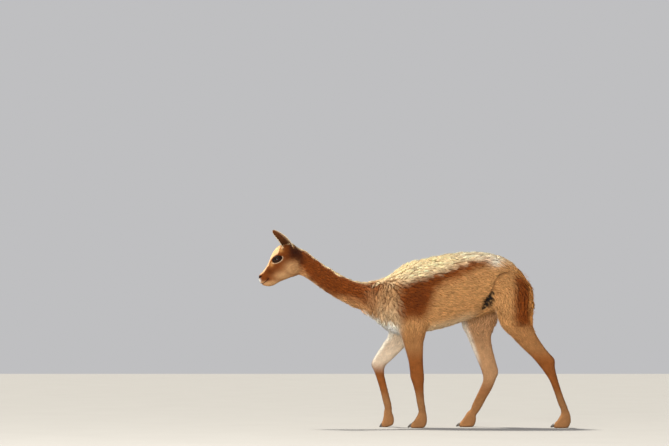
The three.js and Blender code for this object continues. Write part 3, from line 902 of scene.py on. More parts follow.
skin_mesh.vertices.foreach_set("co", to_metres(sculpt_face(skin_mesh)).ravel())
skin_mesh.update()
print("face features", len(BONES) + 4)

# %% [markdown]
# ## Ears
# A vicuna's ear is a long pointed leaf rolled into a cup, open to the side. Its section is an
# arc with a thin wall. A Solidify modifier could give the wall, but as one closed grid the ear
# is shut at its rims. The shells are joined to the skin with their roots sunk in the head.

# %% Ear shells
EAR_Y = 31.0
EAR_LEAN = 0.16
EAR_ARC = 1.9
EAR_SHELL = {"rings": 44, "across": 26, "wall": 1.8, "bulge": 1.3, "back": 0.45,
             "narrower": 0.06}


def ear_grid(side):
    """Ring r, side s: an arc from rim to rim and back on its inner face. Across the leaf the
    arc runs as sin(angle) between the rims, and its depth runs as cos(angle)."""
    rings, count = EAR_SHELL["rings"], EAR_SHELL["across"]
    rows = spline(EAR, rings)
    outer = np.linspace(-EAR_ARC, EAR_ARC, count)
    angle = np.concatenate([outer, outer[::-1]])
    inner = np.concatenate([np.zeros(count), np.ones(count)])
    across = np.sin(angle) / np.sin(min(EAR_ARC, np.pi / 2))
    hollow = (np.cos(angle) - math.cos(EAR_ARC)) / (1 - math.cos(EAR_ARC))
    middle = (rows[:, 0:2] + rows[:, 2:4]) / 2
    rise = (rows[:, 0:2] - rows[:, 2:4]) / 2
    wall = EAR_SHELL["wall"] * inner * np.cos(angle / EAR_ARC * np.pi / 2) ** 0.5
    centre_y = EAR_Y + EAR_LEAN * (rows[:, 3] - EAR[0][1])
    depth = rows[:, 4:5] * (EAR_SHELL["bulge"] * hollow - EAR_SHELL["back"])
    width = 1 - EAR_SHELL["narrower"] * inner
    grid = np.zeros((rings, 2 * count, 3))
    grid[:, :, 0] = middle[:, :1] + rise[:, :1] * across * width
    grid[:, :, 2] = middle[:, 1:] + rise[:, 1:] * across * width
    grid[:, :, 1] = side * (centre_y[:, None] - depth + wall)
    return grid


EARS = {side: ear_grid(side) for side in (-1, 1)}
print("ear grid", EARS[1].shape)

# %% Join the ears


def join_ears(mesh):
    """The skin's points and faces with both ear shells added."""
    work = bmesh.new()
    work.from_mesh(mesh)
    for grid in EARS.values():
        rings, sides = grid.shape[:2]
        points = to_metres(grid_points(grid))
        added = [work.verts.new(point) for point in points.tolist()]
        shell = [work.faces.new([added[i] for i in face]) for face in grid_faces(rings, sides)]
        bmesh.ops.recalc_face_normals(work, faces=shell)
    bmesh.ops.triangulate(work, faces=work.faces)
    for face in work.faces:
        face.smooth = True
    work.to_mesh(mesh)
    work.free()


body_count = len(skin_mesh.vertices)
join_ears(skin_mesh)
print("skin with ears", len(skin_mesh.polygons), "triangles")

# %% [markdown]
# ## Which loft a point came from
# Remeshing forgets the lofts, but the hair runs along them, and colours and lengths differ
# from part to part. Faces could be tagged before, but not through a remesh, so every point
# looks up the nearest point of the lofts, and takes its place on a flat unwrap from there.

# %% Samples of the lofts
SHEET = {"cells": 4, "cell": 0.25, "margin": 0.01, "size": 0.23}
FINE_RINGS = 40


def chart_for(index):
    """A cell of a 4 by 4 sheet for each loft, with a small margin: its corner and its size."""
    column = index % SHEET["cells"]
    row = index // SHEET["cells"]
    return (SHEET["margin"] + column * SHEET["cell"], SHEET["margin"] + row * SHEET["cell"],
            SHEET["size"])


def loft_samples():
    """Points, hair directions, unwrap places and part numbers of every loft. A fine grid gives
    every second ring and side."""
    points, ways, places, parts = [], [], [], []
    everything = dict(GRIDS)
    everything["ear_left"] = (EARS[-1], 1)
    everything["ear_right"] = (EARS[1], 1)
    names = list(everything)
    for index, (name, (grid, sign)) in enumerate(everything.items()):
        step = 2 if grid.shape[0] > FINE_RINGS else 1
        way = np.gradient(grid, axis=0) * sign
        rings, sides = grid.shape[:2]
        u0, v0, size = chart_for(index)
        u = u0 + size * np.arange(rings)[:, None] / (rings - 1) + np.zeros((1, sides))
        v = v0 + size * np.arange(sides)[None, :] / sides + np.zeros((rings, 1))
        points.append(grid[::step, ::step].reshape(-1, 3))
        ways.append(way[::step, ::step].reshape(-1, 3))
        places.append(np.stack([u, v], -1)[::step, ::step].reshape(-1, 2))
        parts.append(np.full(len(points[-1]), index))
    return (np.vstack(points), np.vstack(ways), np.vstack(places), np.concatenate(parts), names)


SAMPLES = loft_samples()
PART_NAMES = SAMPLES[4]
print("samples", len(SAMPLES[0]), "of", len(PART_NAMES), "lofts")

# %% Nearest sample


def nearest_samples(points):
    """For each point the index of the nearest loft sample."""
    tree = KDTree(len(SAMPLES[0]))
    for index, point in enumerate(SAMPLES[0].tolist()):
        tree.insert(point, index)
    tree.balance()
    return np.array([tree.find(point)[1] for point in points.tolist()])


ORIGIN_SAMPLE = nearest_samples(np.zeros((1, 3)))[0]
print("the loft nearest to the origin is", PART_NAMES[SAMPLES[3][ORIGIN_SAMPLE]])

# %% [markdown]
# ## The lie of the hair
# Hair lies along a limb, droops a little on the flank, and hangs in the bib. It could be combed
# by hand. Here it starts along the nearest loft and is averaged over the skin, so that it
# turns gently from flank to leg and follows every change of form.

# %% Lie of the hair
DROOP = (0, 0, -0.35)
BIB_LIE = {"x": -175, "wide": 85, "below": 745, "way": (-0.25, 0, -1.0)}
SIDEWAYS = 0.6  # hair turns out sideways less than the lofts do
LIE_ROUNDS = 14


def unit(vectors):
    """Vectors scaled to length one."""
    return vectors / np.maximum(np.linalg.norm(vectors, axis=1, keepdims=True), 1e-9)


def skin_fields(mesh):
    """Lie, unwrap place and part number at every point of the skin."""
    points = to_millimetres(mesh_points(mesh))
    nearest = nearest_samples(points)
    lie = unit(SAMPLES[1][nearest])
    part = SAMPLES[3][nearest]
    on_torso = (part == PART_NAMES.index("torso"))[:, None]
    lie = lie + on_torso * np.array(DROOP)
    chest = np.exp(-((points[:, 0] - BIB_LIE["x"]) / BIB_LIE["wide"]) ** 2)
    chest = chest * (points[:, 2] < BIB_LIE["below"])
    chest = (chest * (on_torso[:, 0] | (part == PART_NAMES.index("neck"))))[:, None]
    lie = lie * (1 - chest) + chest * np.array(BIB_LIE["way"])
    lie[:, 1] = lie[:, 1] * SIDEWAYS
    edges = mesh_edges(mesh)
    for _ in range(LIE_ROUNDS):
        lie = 0.5 * lie + 0.5 * neighbour_mean(lie, edges)
    normal = mesh_normals(mesh)
    lie = unit(lie - normal * (lie * normal).sum(1, keepdims=True))
    return points, normal, lie, SAMPLES[2][nearest], part


POINTS, NORMAL, LIE, PLACE, PART = skin_fields(skin_mesh)
print("parts on the skin", len(set(PART.tolist())))

# %% [markdown]
# ## Markings
# A vicuna is sandy along the back, cinnamon on the sides and neck, and cream below, with a
# white bib. The colours could be painted by hand on an unwrapped picture. Here they are a
# function of place, which the skin and the coat share, so the colours agree at every root.

# %% Colours
# sand is laid on the tops of back, neck and head, and there it stands partly for painted sunlight
SAND = linear(250, 226, 184)
RUFOUS = linear(138, 70, 24)
DEEP = linear(84, 36, 14)
FLANK = linear(212, 160, 104)
CHEST = linear(190, 147, 103)
LOWER_NECK = linear(208, 154, 102)
CREAM = linear(240, 216, 178)
BLAZE = linear(238, 194, 146)
WHITE = linear(255, 250, 238)
GREY_CREAM = linear(250, 238, 220)
GASKIN = linear(184, 131, 82)
SHANK = linear(150, 88, 42)
PASTERN = linear(166, 118, 76)
PEACH = linear(197, 152, 110)
PALE_ARM = linear(224, 204, 180)
GOLD = linear(196, 140, 78)
CHEEK = linear(195, 150, 104)
LIP = linear(172, 120, 84)
DARK = linear(36, 18, 11)
GROIN = linear(30, 25, 23)
print("sand in linear light", SAND.round(3))

# %% Mix and fade


def mix(colour, other, share):
    """A colour moved a share of the way to another."""
    return colour + (other - colour) * np.clip(share, 0, 1)[:, None]


def fade(value, low, high):
    """0 below low, 1 above high, smooth between."""
    t = np.clip((value - low) / (high - low), 0, 1)
    return t * t * (3 - 2 * t)


def fades(table):
    """A function that fades a value between the two numbers of one of the table's names."""
    return lambda value, name: fade(value, *table[name])


def height_line(rows, x):
    """The height at x of a line of (x, z) rows."""
    line = np.array(rows, float)
    return np.interp(x, line[:, 0], line[:, 1])


print("a fade half way up", fade(np.array([0.5]), 0, 1))

# %% Noise and soft patches
WAVES = 12
WAVE_PACE = (0.6, 1.4)
WAVE_GAIN = 2.2


def wave_noise(points, size, seed):
    """A smooth random field, mostly between -1 and 1, with a given grain: the mean of twelve
    sines along random ways, times a gain."""
    random = np.random.default_rng(seed)
    ways = random.normal(size=(WAVES, 3))
    ways /= np.linalg.norm(ways, axis=1, keepdims=True)
    pace = 2 * np.pi / size * random.uniform(*WAVE_PACE, WAVES)
    shift = random.uniform(0, 2 * np.pi, WAVES)
    return np.sin(points @ (ways * pace[:, None]).T + shift).mean(1) * WAVE_GAIN


def spot(points, x, z, wide, high):
    """A soft oval patch in side view: exp(-((dx / wide)^2 + (dz / high)^2))."""
    return np.exp(-((points[:, 0] - x) / wide) ** 2 - ((points[:, 2] - z) / high) ** 2)


def add_patches(colour, p, patches):
    """Mixes the soft oval patches of a table over the colour, in the table's order."""
    for paint, share, x, z, wide, high in patches:
        colour = mix(colour, paint, share * spot(p, x, z, wide, high))
    return colour


print("noise reaches", np.abs(wave_noise(POINTS, 46, 5)).max().round(2))

# %% [markdown]
# ## The body's markings
# The sandy back meets the cinnamon shoulder along a ragged line, the cinnamon thins out to
# tan over the flank, and the bib is white. Each line is a height at every x, frayed by a
# little noise, as the mingled hairs of two colours do.

# %% Lines of the body
SAND_EDGE = [(-234, 752), (-156, 747), (-69, 737), (10, 757), (72, 783), (133, 797),
             (194, 825), (255, 845), (317, 857), (366, 866), (420, 868), (560, 800)]
BAND_EDGE = [(-90, 560), (40, 560), (85, 640), (104, 715), (140, 738), (192, 757),
             (286, 800), (347, 830), (400, 866)]
BIB_EDGE = [(-260, 612), (-234, 592), (-190, 572), (-114, 546), (-60, 510)]
body_fade = fades({  # millimetres along x or up z, or how far a normal is turned
    "chest": (-100, -40), "cream x": (-90, -50), "cream z": (590, 690), "band": (-22, 40),
    "band front": (-112, -64), "band rear": (350, 415), "top front": (120, 300),
    "top rear": (370, 440), "top z": (850, 890), "rump x": (480, 530), "rump z": (480, 560),
    "rump top": (775, 825), "rim turn": (0.40, 0.80), "rim x": (430, 500),
    "rim z": (500, 560), "under turn": (0.5, 0.9), "under x": (240, 340), "bib x": (-95, -60),
})
SAND_FADE = (-16, 30)
BIB_FADE = (-10, 10)
# painted shade: a dark cinnamon oval over the shoulder, where the side lies in shade
SHOULDER_SHADE_PATCH = (DEEP, 0.45, -2, 668, 66, 62)
# painted highlight: a pale grey-cream spot where the sun falls on the loin
LOIN_HIGHLIGHT = (GREY_CREAM, 1.2, 406, 858, 34, 24)
print("lines of", len(SAND_EDGE), len(BAND_EDGE), len(BIB_EDGE), "points")

# %% Markings of the body


def shoulder_band_and_shade(p, x, z):
    """The cinnamon band, partly the coat's own colour and partly painted shade below the sunlit
    back: the signed distance above its lower edge, frayed by noise.
    """
    frayed = np.stack([x + 10 * wave_noise(p, 40, 8), p[:, 1], z], 1)
    far, _ = line_distance(frayed, np.array(BAND_EDGE, float))
    over = np.where(z > height_line(BAND_EDGE, frayed[:, 0]), far, -far)
    band = body_fade(over, "band")
    return band * body_fade(x, "band front") * (1 - body_fade(x, "band rear"))


def body_colour(p, normal):
    """Sand above, a rufous band that widens over the shoulder, tan below, white bib."""
    slanted = p * np.array([0.5, 1.0, 1.6])
    x, z = p[:, 0], p[:, 2] + 7 * wave_noise(p, 55, 1) + 8 * wave_noise(slanted, 26, 7)
    colour = np.tile(FLANK, (len(p), 1))
    colour = mix(colour, CHEST, 1 - body_fade(x, "chest"))
    colour = mix(colour, CREAM, 0.45 * (1 - body_fade(x, "cream x"))
                 * (1 - body_fade(z, "cream z")))
    # the band's cinnamon is partly the coat's own and partly painted shade below the sunlit back
    colour = mix(colour, RUFOUS, shoulder_band_and_shade(p, x, z))
    # the dark oval over the shoulder is painted shade
    colour = add_patches(colour, p, [SHOULDER_SHADE_PATCH])
    # the sandy back above this line is partly the back's own paler hair and partly painted
    # sunlight
    upper = height_line(SAND_EDGE, x)
    colour = mix(colour, SAND, fade(z, upper + SAND_FADE[0], upper + SAND_FADE[1]))
    # the pale loin spot is a painted highlight
    colour = add_patches(colour, p, [LOIN_HIGHLIGHT])
    # painted highlight: the top of the back turns whiter where the sun falls on it
    sunlit_top = body_fade(x, "top front") * (1 - body_fade(x, "top rear"))
    colour = mix(colour, WHITE, 0.45 * sunlit_top * body_fade(z, "top z"))
    rump = body_fade(x + 9 * wave_noise(p, 34, 4), "rump x") * body_fade(z, "rump z")
    colour = mix(colour, RUFOUS * 0.95, rump * (1 - body_fade(z, "rump top")))
    # painted highlight: a bright golden rim where the skin turns to the rear over rump and thigh
    rim = body_fade(normal[:, 0], "rim turn") * body_fade(x, "rim x")
    colour = mix(colour, GOLD * 1.25, rim * body_fade(z, "rim z"))
    underside = body_fade(-normal[:, 2], "under turn") * (1 - body_fade(x, "under x"))
    colour = mix(colour, CREAM, 0.7 * underside)
    low = height_line(BIB_EDGE, x)
    bib = 1 - fade(z, low + BIB_FADE[0], low + BIB_FADE[1])
    return mix(colour, WHITE, bib * (1 - body_fade(x, "bib x")))


print("mean of the body's colours", body_colour(POINTS, NORMAL).mean(0).round(3))

# %% [markdown]
# ## Groin and fold
# In the photo the bare groin is a dark patch with paler streaks, and the fold over the hip
# holds a thin shade. Shadows alone would be too weak under the soft fill, so both are painted
# along the same lines that were carved.

# %% Groin and fold
GROIN_PAINT = {"share": 1.15, "half": 26, "ends": (0.06, 0.94), "fray": 5, "inner": 0.55,
               "outer": 1.1, "edge": 2}
FOLD_PAINT = {"share": 0.9, "wide": 4.5, "colour": DEEP * 0.7}


def groin_patch(p):
    """How bare a point is: 1 along the groin's line, 0 beyond a half width that shrinks to
    the line's ends as the root of a sine."""
    far, along = line_distance(p, GROIN_LINE)
    middle = np.sin(np.pi * np.clip(along, *GROIN_PAINT["ends"]))
    width = GROIN_PAINT["half"] * np.sqrt(np.clip(middle, 0, 1))
    frayed = far + GROIN_PAINT["fray"] * wave_noise(p, 14, 12)
    return 1 - fade(frayed, GROIN_PAINT["inner"] * width,
                            GROIN_PAINT["outer"] * width + GROIN_PAINT["edge"])


def flank_marks(colour, p):
    """The bare dark groin with its streaks, and the shade in the fold over the hip."""
    wide = np.abs(p[:, 1]) > FLANK_FROM
    slanted = np.stack([p[:, 0] - 0.45 * p[:, 2], p[:, 1], 0.25 * p[:, 2]], 1)
    streak = 1.0 + 0.8 * wave_noise(slanted, 9, 9)
    share = GROIN_PAINT["share"] * groin_patch(p) * streak * wide
    colour = mix(colour, GROIN, share)
    far, _ = line_distance(p, HIP_CREASE)
    shade = FOLD_PAINT["share"] * np.exp(-(far / FOLD_PAINT["wide"]) ** 2) * wide
    return mix(colour, FOLD_PAINT["colour"], shade)


print("points in the bare groin", int((groin_patch(POINTS) > 0.5).sum()))

# %% [markdown]
# ## Markings of legs and tail
# The legs are orange brown outside and pale within, with a whitish front edge above the knee,
# which is painted sunlight from ahead.
# The normal tells whether a point faces in, out or forward, so one function serves all four.

# %% Markings of legs and tail
leg_fade = fades({
    "shank": (330, 440), "pastern": (130, 220), "inner": (-0.1, 0.5), "arm": (270, 350),
    "thigh": (140, 280), "edge turn": (0.25, 0.7), "edge z": (300, 400),
    "edge side": (-0.5, 0.1),
})
TAIL_REAR = (570, 595)
TAIL_TIP = (540, 600)


def leg_colour(p, normal, leg):
    """Tan to orange brown outside, peach inside, with a pale front edge above the knee, which is
    painted sunlight from ahead.
    """
    z = p[:, 2]
    inward = -leg["side"] * normal[:, 1]
    colour = np.tile(GASKIN, (len(p), 1))
    colour = mix(colour, SHANK, 1 - leg_fade(z, "shank"))
    colour = mix(colour, PASTERN, 1 - leg_fade(z, "pastern"))
    inner = PALE_ARM if leg["fore"] else PEACH
    height = leg_fade(z, "arm") if leg["fore"] else leg_fade(z, "thigh")
    colour = mix(colour, inner, leg_fade(inward, "inner") * height)
    # painted highlight: white on the front edge above the knee, which faces the sun ahead
    edge = leg_fade(-normal[:, 0], "edge turn") * leg_fade(z, "edge z")
    return mix(colour, WHITE, 0.8 * edge * leg_fade(inward, "edge side"))


def tail_colour(p):
    """Rufous on top, golden at the back and pale at the tip."""
    colour = np.tile(RUFOUS, (len(p), 1))
    colour = mix(colour, GOLD, fade(p[:, 0], *TAIL_REAR))
    return mix(colour, CREAM, 0.6 * (1 - fade(p[:, 2], *TAIL_TIP)))


print("mean of the tail's colours", tail_colour(POINTS).mean(0).round(3))

# %% [markdown]
# ## Markings of the neck
# The neck has a sandy crest, which is painted sunlight along its top, rufous sides and a paler
# throat. It slopes, so height alone can't tell them apart, but the share of the way from its
# upper outline to its lower one can.

# %% Markings of the neck
neck_fade = fades({  # shares of the way from crest to throat, or along x; middle, nape: -x
    "crest": (0.04, 0.12), "middle front": (350, 450), "middle rear": (520, 600),
    "throat": (0.52, 0.84), "cream": (0.90, 0.99), "base x": (-300, -190), "base": (0.1, 0.4),
    "nape x": (560, 610), "nape": (0.08, 0.18), "nape low": (0.45, 0.7), "bib x": (-300, -250),
})
THROAT_DIP = (0.03, 0.24)
NECK_BIB_FADE = (-8, 10)
HEAD_SHADE = (DEEP, 0.6, -594, 838, 6, 42)


def neck_share(p):
    """0 on the crest, 1 on the throat, stirred by a little noise."""
    rows = spline(NECK, 60)
    top = np.interp(p[:, 0], rows[:, 0], rows[:, 1])
    low = np.interp(p[:, 0], rows[:, 2], rows[:, 3])
    return np.clip((top - p[:, 2]) / (top - low), 0, 1) + 0.05 * wave_noise(p, 50, 2)


def neck_colour(p):
    """Rufous sides, a sandy crest of painted sunlight, a tan throat and a dark nape."""
    share = neck_share(p)
    colour = np.tile(RUFOUS, (len(p), 1))
    # painted highlight: the sandy crest stands for sunlight along the top of the neck
    colour = mix(colour, SAND, 1.2 * (1 - neck_fade(share, "crest")))
    middle = neck_fade(-p[:, 0], "middle front") * (1 - neck_fade(-p[:, 0], "middle rear"))
    deeper = THROAT_DIP[0] + THROAT_DIP[1] * middle
    colour = mix(colour, LOWER_NECK, neck_fade(share - deeper, "throat"))
    colour = mix(colour, CREAM, 0.6 * neck_fade(share, "cream"))
    base = neck_fade(p[:, 0], "base x")
    colour = mix(colour, CHEST, 0.75 * base * neck_fade(share, "base"))
    nape = neck_fade(-p[:, 0], "nape x") * neck_fade(share, "nape")
    colour = mix(colour, DEEP * 0.6, nape * (1 - neck_fade(share, "nape low")))
    edge = height_line(BIB_EDGE, p[:, 0])
    bib = 1 - fade(p[:, 2], edge + NECK_BIB_FADE[0], edge + NECK_BIB_FADE[1])
    colour = mix(colour, WHITE, bib * neck_fade(p[:, 0], "bib x"))
    return add_patches(colour, p, [HEAD_SHADE])


print("mean of the neck's colours", neck_colour(POINTS).mean(0).round(3))

# %% [markdown]
# ## Markings of the head
# A pale blaze runs from the ears to the nose, the muzzle's sides are rufous, the cheeks tan,
# and the lids nearly black with a thin cream crescent below. Most of it is soft ovals, so a
# table of them, laid on in layers, is shorter than a function for each.

# %% Patches of the head
BLAZE_EDGE = [(-812, 786), (-804, 791), (-790, 797), (-775, 817), (-761, 836), (-752, 862),
              (-736, 882), (-712, 897), (-704, 921), (-697, 940), (-690, 990)]
CHEEK_PATCHES = [  # colour, share, x, z, half width, half height
    (CHEEK, 1.5, -632, 822, 40, 36), (RUFOUS * 0.6, 0.9, -662, 884, 26, 16),
    (CHEEK, 1.2, -686, 786, 44, 22), (RUFOUS * 0.5, 0.9, -757, 806, 34, 19),
]
BROW_PATCHES = [(GOLD, 0.7, -745, 845, 12, 14), (GOLD, 0.8, -697, 916, 12, 10)]
MUZZLE_PATCHES = [
    (BLAZE, 1.0, -692, 929, 6, 6), (RUFOUS * 0.62, 0.8, -782, 772, 22, 13),
    (LIP, 0.7, -788, 742, 20, 7), (WHITE, 1.6, -811, 757, 8, 12), (DEEP, 0.8, -764, 770, 9, 10),
]
print("patches", len(CHEEK_PATCHES) + len(BROW_PATCHES) + len(MUZZLE_PATCHES))

# %% Rings about the eye
CRESCENT = {"ring": 1.66, "wide": 0.13, "share": 0.6, "below": (-0.15, 0.25), "tilt": 0.25}
LID_PAINT = {"edge": (1.38, 1.50), "drawn": 1.12, "colour": DARK * 0.7}
EYE_FRONT = -6  # how far behind the ball's centre, along the look, a point still counts


def eye_rings(p, side):
    """Each point's ring number about one eye (1 at the lid's edge) and its frame there."""
    centre, long_axis, up, look = eye_frame(side)
    offset = p - centre
    run = (offset @ long_axis) / LID_LONG
    high = (offset @ up) / LID_HIGH
    return np.hypot(run, high), run, high, (offset @ look) > EYE_FRONT


def eye_marks(colour, p):
    """A cream crescent below each eye, and dark lids drawn back to a corner."""
    for side in (-1, 1):
        ring, run, high, front = eye_rings(p, side)
        pale = np.exp(-((ring - CRESCENT["ring"]) / CRESCENT["wide"]) ** 2)
        below = fade(CRESCENT["tilt"] * run - high, *CRESCENT["below"])
        colour = mix(colour, CREAM, CRESCENT["share"] * pale * below * front)
        drawn_back = np.hypot(run / np.where(run > 0, LID_PAINT["drawn"], 1.0), high)
        lid = 1 - fade(drawn_back, *LID_PAINT["edge"])
        colour = mix(colour, LID_PAINT["colour"], lid * front)
    return colour


ring, _, _, front = eye_rings(POINTS, -1)
print("points on the left lids", int((front & (ring < LID_PAINT["edge"][0])).sum()))

# %% Markings of the head
head_fade = fades({
    "nape x": (-672, -640), "nape z": (862, 890), "crest turn": (0.66, 0.90),
    "crest x": (-672, -655),
})
JAW_EDGE = {"low": 745, "high": 775, "slope": 0.15, "about": -740}
BLAZE_FADE = (-3, 8)
BLAZE_UNTIL = -690
LIP_LINE = {"wide": 1.7, "until": -757}
NOSE = {"x": -814, "z": 776, "long": 6, "high": 8, "half": 12}


def lip_and_nose(colour, p, x, z):
    """The dark line between the lips, the dark nose and the black of the nostrils."""
    far, _ = line_distance(p, MOUTH)
    colour = mix(colour, DARK, np.exp(-(far / LIP_LINE["wide"]) ** 2) * (x < LIP_LINE["until"]))
    nose = np.exp(-((x - NOSE["x"]) / NOSE["long"]) ** 2 - ((z - NOSE["z"]) / NOSE["high"]) ** 2)
    colour = mix(colour, DARK * 1.6, 0.9 * nose * (np.abs(p[:, 1]) < NOSE["half"]))
    return mix(colour, DARK * 0.4, 1.8 * nostril_place(p))


def head_colour(p, normal):
    """A pale blaze from ear to nose, rufous muzzle sides, tan cheeks and dark lids."""
    x, z = p[:, 0], p[:, 2] + 2.5 * wave_noise(p, 24, 3)
    colour = np.tile(RUFOUS * 0.72, (len(p), 1))
    colour = add_patches(colour, p, CHEEK_PATCHES)
    jaw = JAW_EDGE["high"] + JAW_EDGE["slope"] * (x - JAW_EDGE["about"])
    colour = mix(colour, CHEEK, 1 - fade(z, JAW_EDGE["low"], jaw))
    colour = add_patches(colour, p, BROW_PATCHES)
    colour = mix(colour, DEEP * 0.6, head_fade(x, "nape x") * head_fade(z, "nape z"))
    # painted highlight: sand where the crown faces up to the sun
    crest = head_fade(normal[:, 2], "crest turn") * head_fade(x, "crest x")
    colour = mix(colour, SAND, 0.9 * crest)
    edge = height_line(BLAZE_EDGE, x)
    blaze = fade(z, edge + BLAZE_FADE[0], edge + BLAZE_FADE[1])
    colour = mix(colour, BLAZE, blaze * (x < BLAZE_UNTIL))
    colour = add_patches(colour, p, MUZZLE_PATCHES)
    return eye_marks(lip_and_nose(colour, p, x, z), p)


print("mean of the head's colours", head_colour(POINTS, NORMAL).mean(0).round(3))

# %% [markdown]
# ## All markings together
# Each point takes the colours of the loft that it came from. Where two lofts meet these would
# leave a line, so there they are averaged with their neighbours, as mingled hairs would be.

# %% All markings
THIGH_FADES = {"height": (440, 560), "outward": (-0.35, 0.15)}
MARKING_LIMITS = (0.003, 0.95)
MINGLE = {"share": 0.6, "rounds": 10}


def upper_leg_colour(p, normal, leg):
    """The leg's own colours, which turn into the body's on the outer side of the thigh."""
    reach = fade(p[:, 2], *THIGH_FADES["height"])
    reach = reach * fade(leg["side"] * normal[:, 1], *THIGH_FADES["outward"])
    return mix(leg_colour(p, normal, leg), body_colour(p, normal), reach)


def part_colour(name, p, normal):
    """The colours of one loft, by its name."""
    if name == "torso":
        return body_colour(p, normal)
    if name == "neck":
        return neck_colour(p)
    if name == "head":
        return head_colour(p, normal)
    if name == "tail":
        return tail_colour(p)
    return upper_leg_colour(p, normal, LEGS[name.split("_toe")[0]])


def markings(points, normals, parts):
    """The coat's colour at each point, by the loft that it belongs to. The ears come later."""
    colour = np.tile(FLANK, (len(points), 1))
    for index, name in enumerate(PART_NAMES):
        here = parts == index
        if here.any() and not name.startswith("ear"):
            colour[here] = part_colour(name, points[here], normals[here])
    tone = 1 + 0.09 * wave_noise(points, 46, 5) + 0.06 * wave_noise(points, 17, 6)
    return np.clip(colour * tone[:, None], *MARKING_LIMITS)


def eased_markings():
    """The markings at every point of the skin, eased where two lofts meet."""
    colour = markings(POINTS, NORMAL, PART)
    body = colour.copy()
    edges = mesh_edges(skin_mesh)
    for _ in range(MINGLE["rounds"]):
        body = (1 - MINGLE["share"]) * body + MINGLE["share"] * neighbour_mean(body, edges)
    join = np.clip(sum(mirrored_bell(POINTS, c, r) for c, r in JOINS), 0, 1)[:, None]
    return flank_marks(colour * (1 - join) + body * join, POINTS)


COLOUR = eased_markings()
print("mean colour", COLOUR.mean(0).round(3))

# %% [markdown]
# ## The ears' markings
# An ear is tan outside, dark brown in the cup and pale along its rims. A function of place in
# the frame would bleed through its thin wall, so it is painted by the place on its own grid,
# whose first half is the outer face and whose second half is the cup.

# %% Paint the ears
EAR_OUTSIDE = linear(158, 108, 66)
EAR_CUP = linear(84, 46, 20)
EAR_LINING = linear(206, 172, 138)
EAR_FADES = {"rim": (0.66, 0.88), "rear": (0.14, 0.42)}


def ear_sheet(rings, sides):
    """The colours of one ear's grid: brown cup, darker at its root, and pale rims."""
    half = sides // 2
    place = np.arange(sides)
    inner = (place >= half)[None, :, None]
    across = np.abs(np.where(place >= half, place - half, place) / (half - 1) * 2 - 1)
    rim = fade(across, *EAR_FADES["rim"])[None, :, None]
    along = np.linspace(0, 1, rings)[:, None, None]
    turned = (place - half) / (half - 1)
    rear = (1 - fade(turned, *EAR_FADES["rear"]))[None, :, None]
    cup = EAR_CUP * (0.35 + 1.5 * along**1.5)
    cup = cup + 0.85 * rear * np.minimum(1, 2 * along) * (EAR_LINING - cup)
    sheet = np.where(inner, cup, EAR_OUTSIDE * (0.6 + 0.5 * along))
    return sheet * (1 - rim) + CREAM * (0.75 + 0.2 * along) * rim


def paint_ears(colour):
    """Puts each ear's sheet over its points, which follow those of the body."""
    start = body_count
    for grid in EARS.values():
        rings, sides = grid.shape[:2]
        count = rings * sides
        colour[start:start + count] = ear_sheet(rings, sides).reshape(-1, 3)
        start += count + 2
    return colour


COLOUR = paint_ears(COLOUR)
print("mean colour with ears", COLOUR.mean(0).round(3))

# %% [markdown]
# ## Plan of the coat
# The coat is about four centimetres long on the bib and the tail, one to three on neck and
# trunk, and a few millimetres on face and legs. Separate coats for the parts would meet in
# hard hems. So each place has a length, a width, a lift from the skin and a number of tufts,
# which blend from one part of the animal to the next.

# %% Table of the coat
WOOL_FROM = 8.5  # a tuft about this long or longer is a bent spike, a shorter one a plain hair
COAT = {  # length, width, lift and tufts to a square millimetre
    "leg": (6.5, 1.7, 0.20, 0.20), "flank": (17, 3.3, 0.28, 0.098),
    "back": (29, 4.0, 0.44, 0.092), "rump": (24, 3.6, 0.42, 0.092),
    "chest": (30, 4.6, 0.34, 0.085), "neck": (12, 2.7, 0.30, 0.12),
    "low neck": (24, 3.9, 0.36, 0.092), "bib": (38, 4.6, 0.42, 0.090),
    "groin": (6, 1.6, 0.2, 0.16), "fold": (7, 2.0, 0.2, 0.14), "face": (4.4, 1.35, 0.20, 0.30),
    "nape": (9.0, 2.1, 0.26, 0.17), "forelock": (9.5, 1.8, 0.42, 0.20),
    "muzzle": (3.0, 1.05, 0.16, 0.34), "tail": (40, 4.8, 0.12, 0.10),
    "ear": (5.0, 1.3, 0.16, 0.20), "toe": (5.0, 1.5, 0.16, 0.22),
}
COAT_FADES = {
    "thigh": (380, 640), "back": (-60, 10), "rump x": (470, 560), "rump z": (500, 650),
    "low neck": (-540, -230), "bib": (-10, 12), "groin": (10, 24), "nape": (-690, -610),
    "muzzle": (-770, -745),
}
BIB_FROM, BIB_TO = -300, -50
CHEST_SPOT = (-165, 640, 80, 130)
FORELOCK_SPOT = (-690, 930, 16, 12)
FOLD_HALF = 8
print("kinds of coat", len(COAT))

# %% Plan of the coat
coat_fade = fades(COAT_FADES)


def above_line(z, line, x, name):
    """A named fade whose two heights are measured from a line of (x, z) rows."""
    low, high = COAT_FADES[name]
    edge = height_line(line, x)
    return fade(z, edge + low, edge + high)


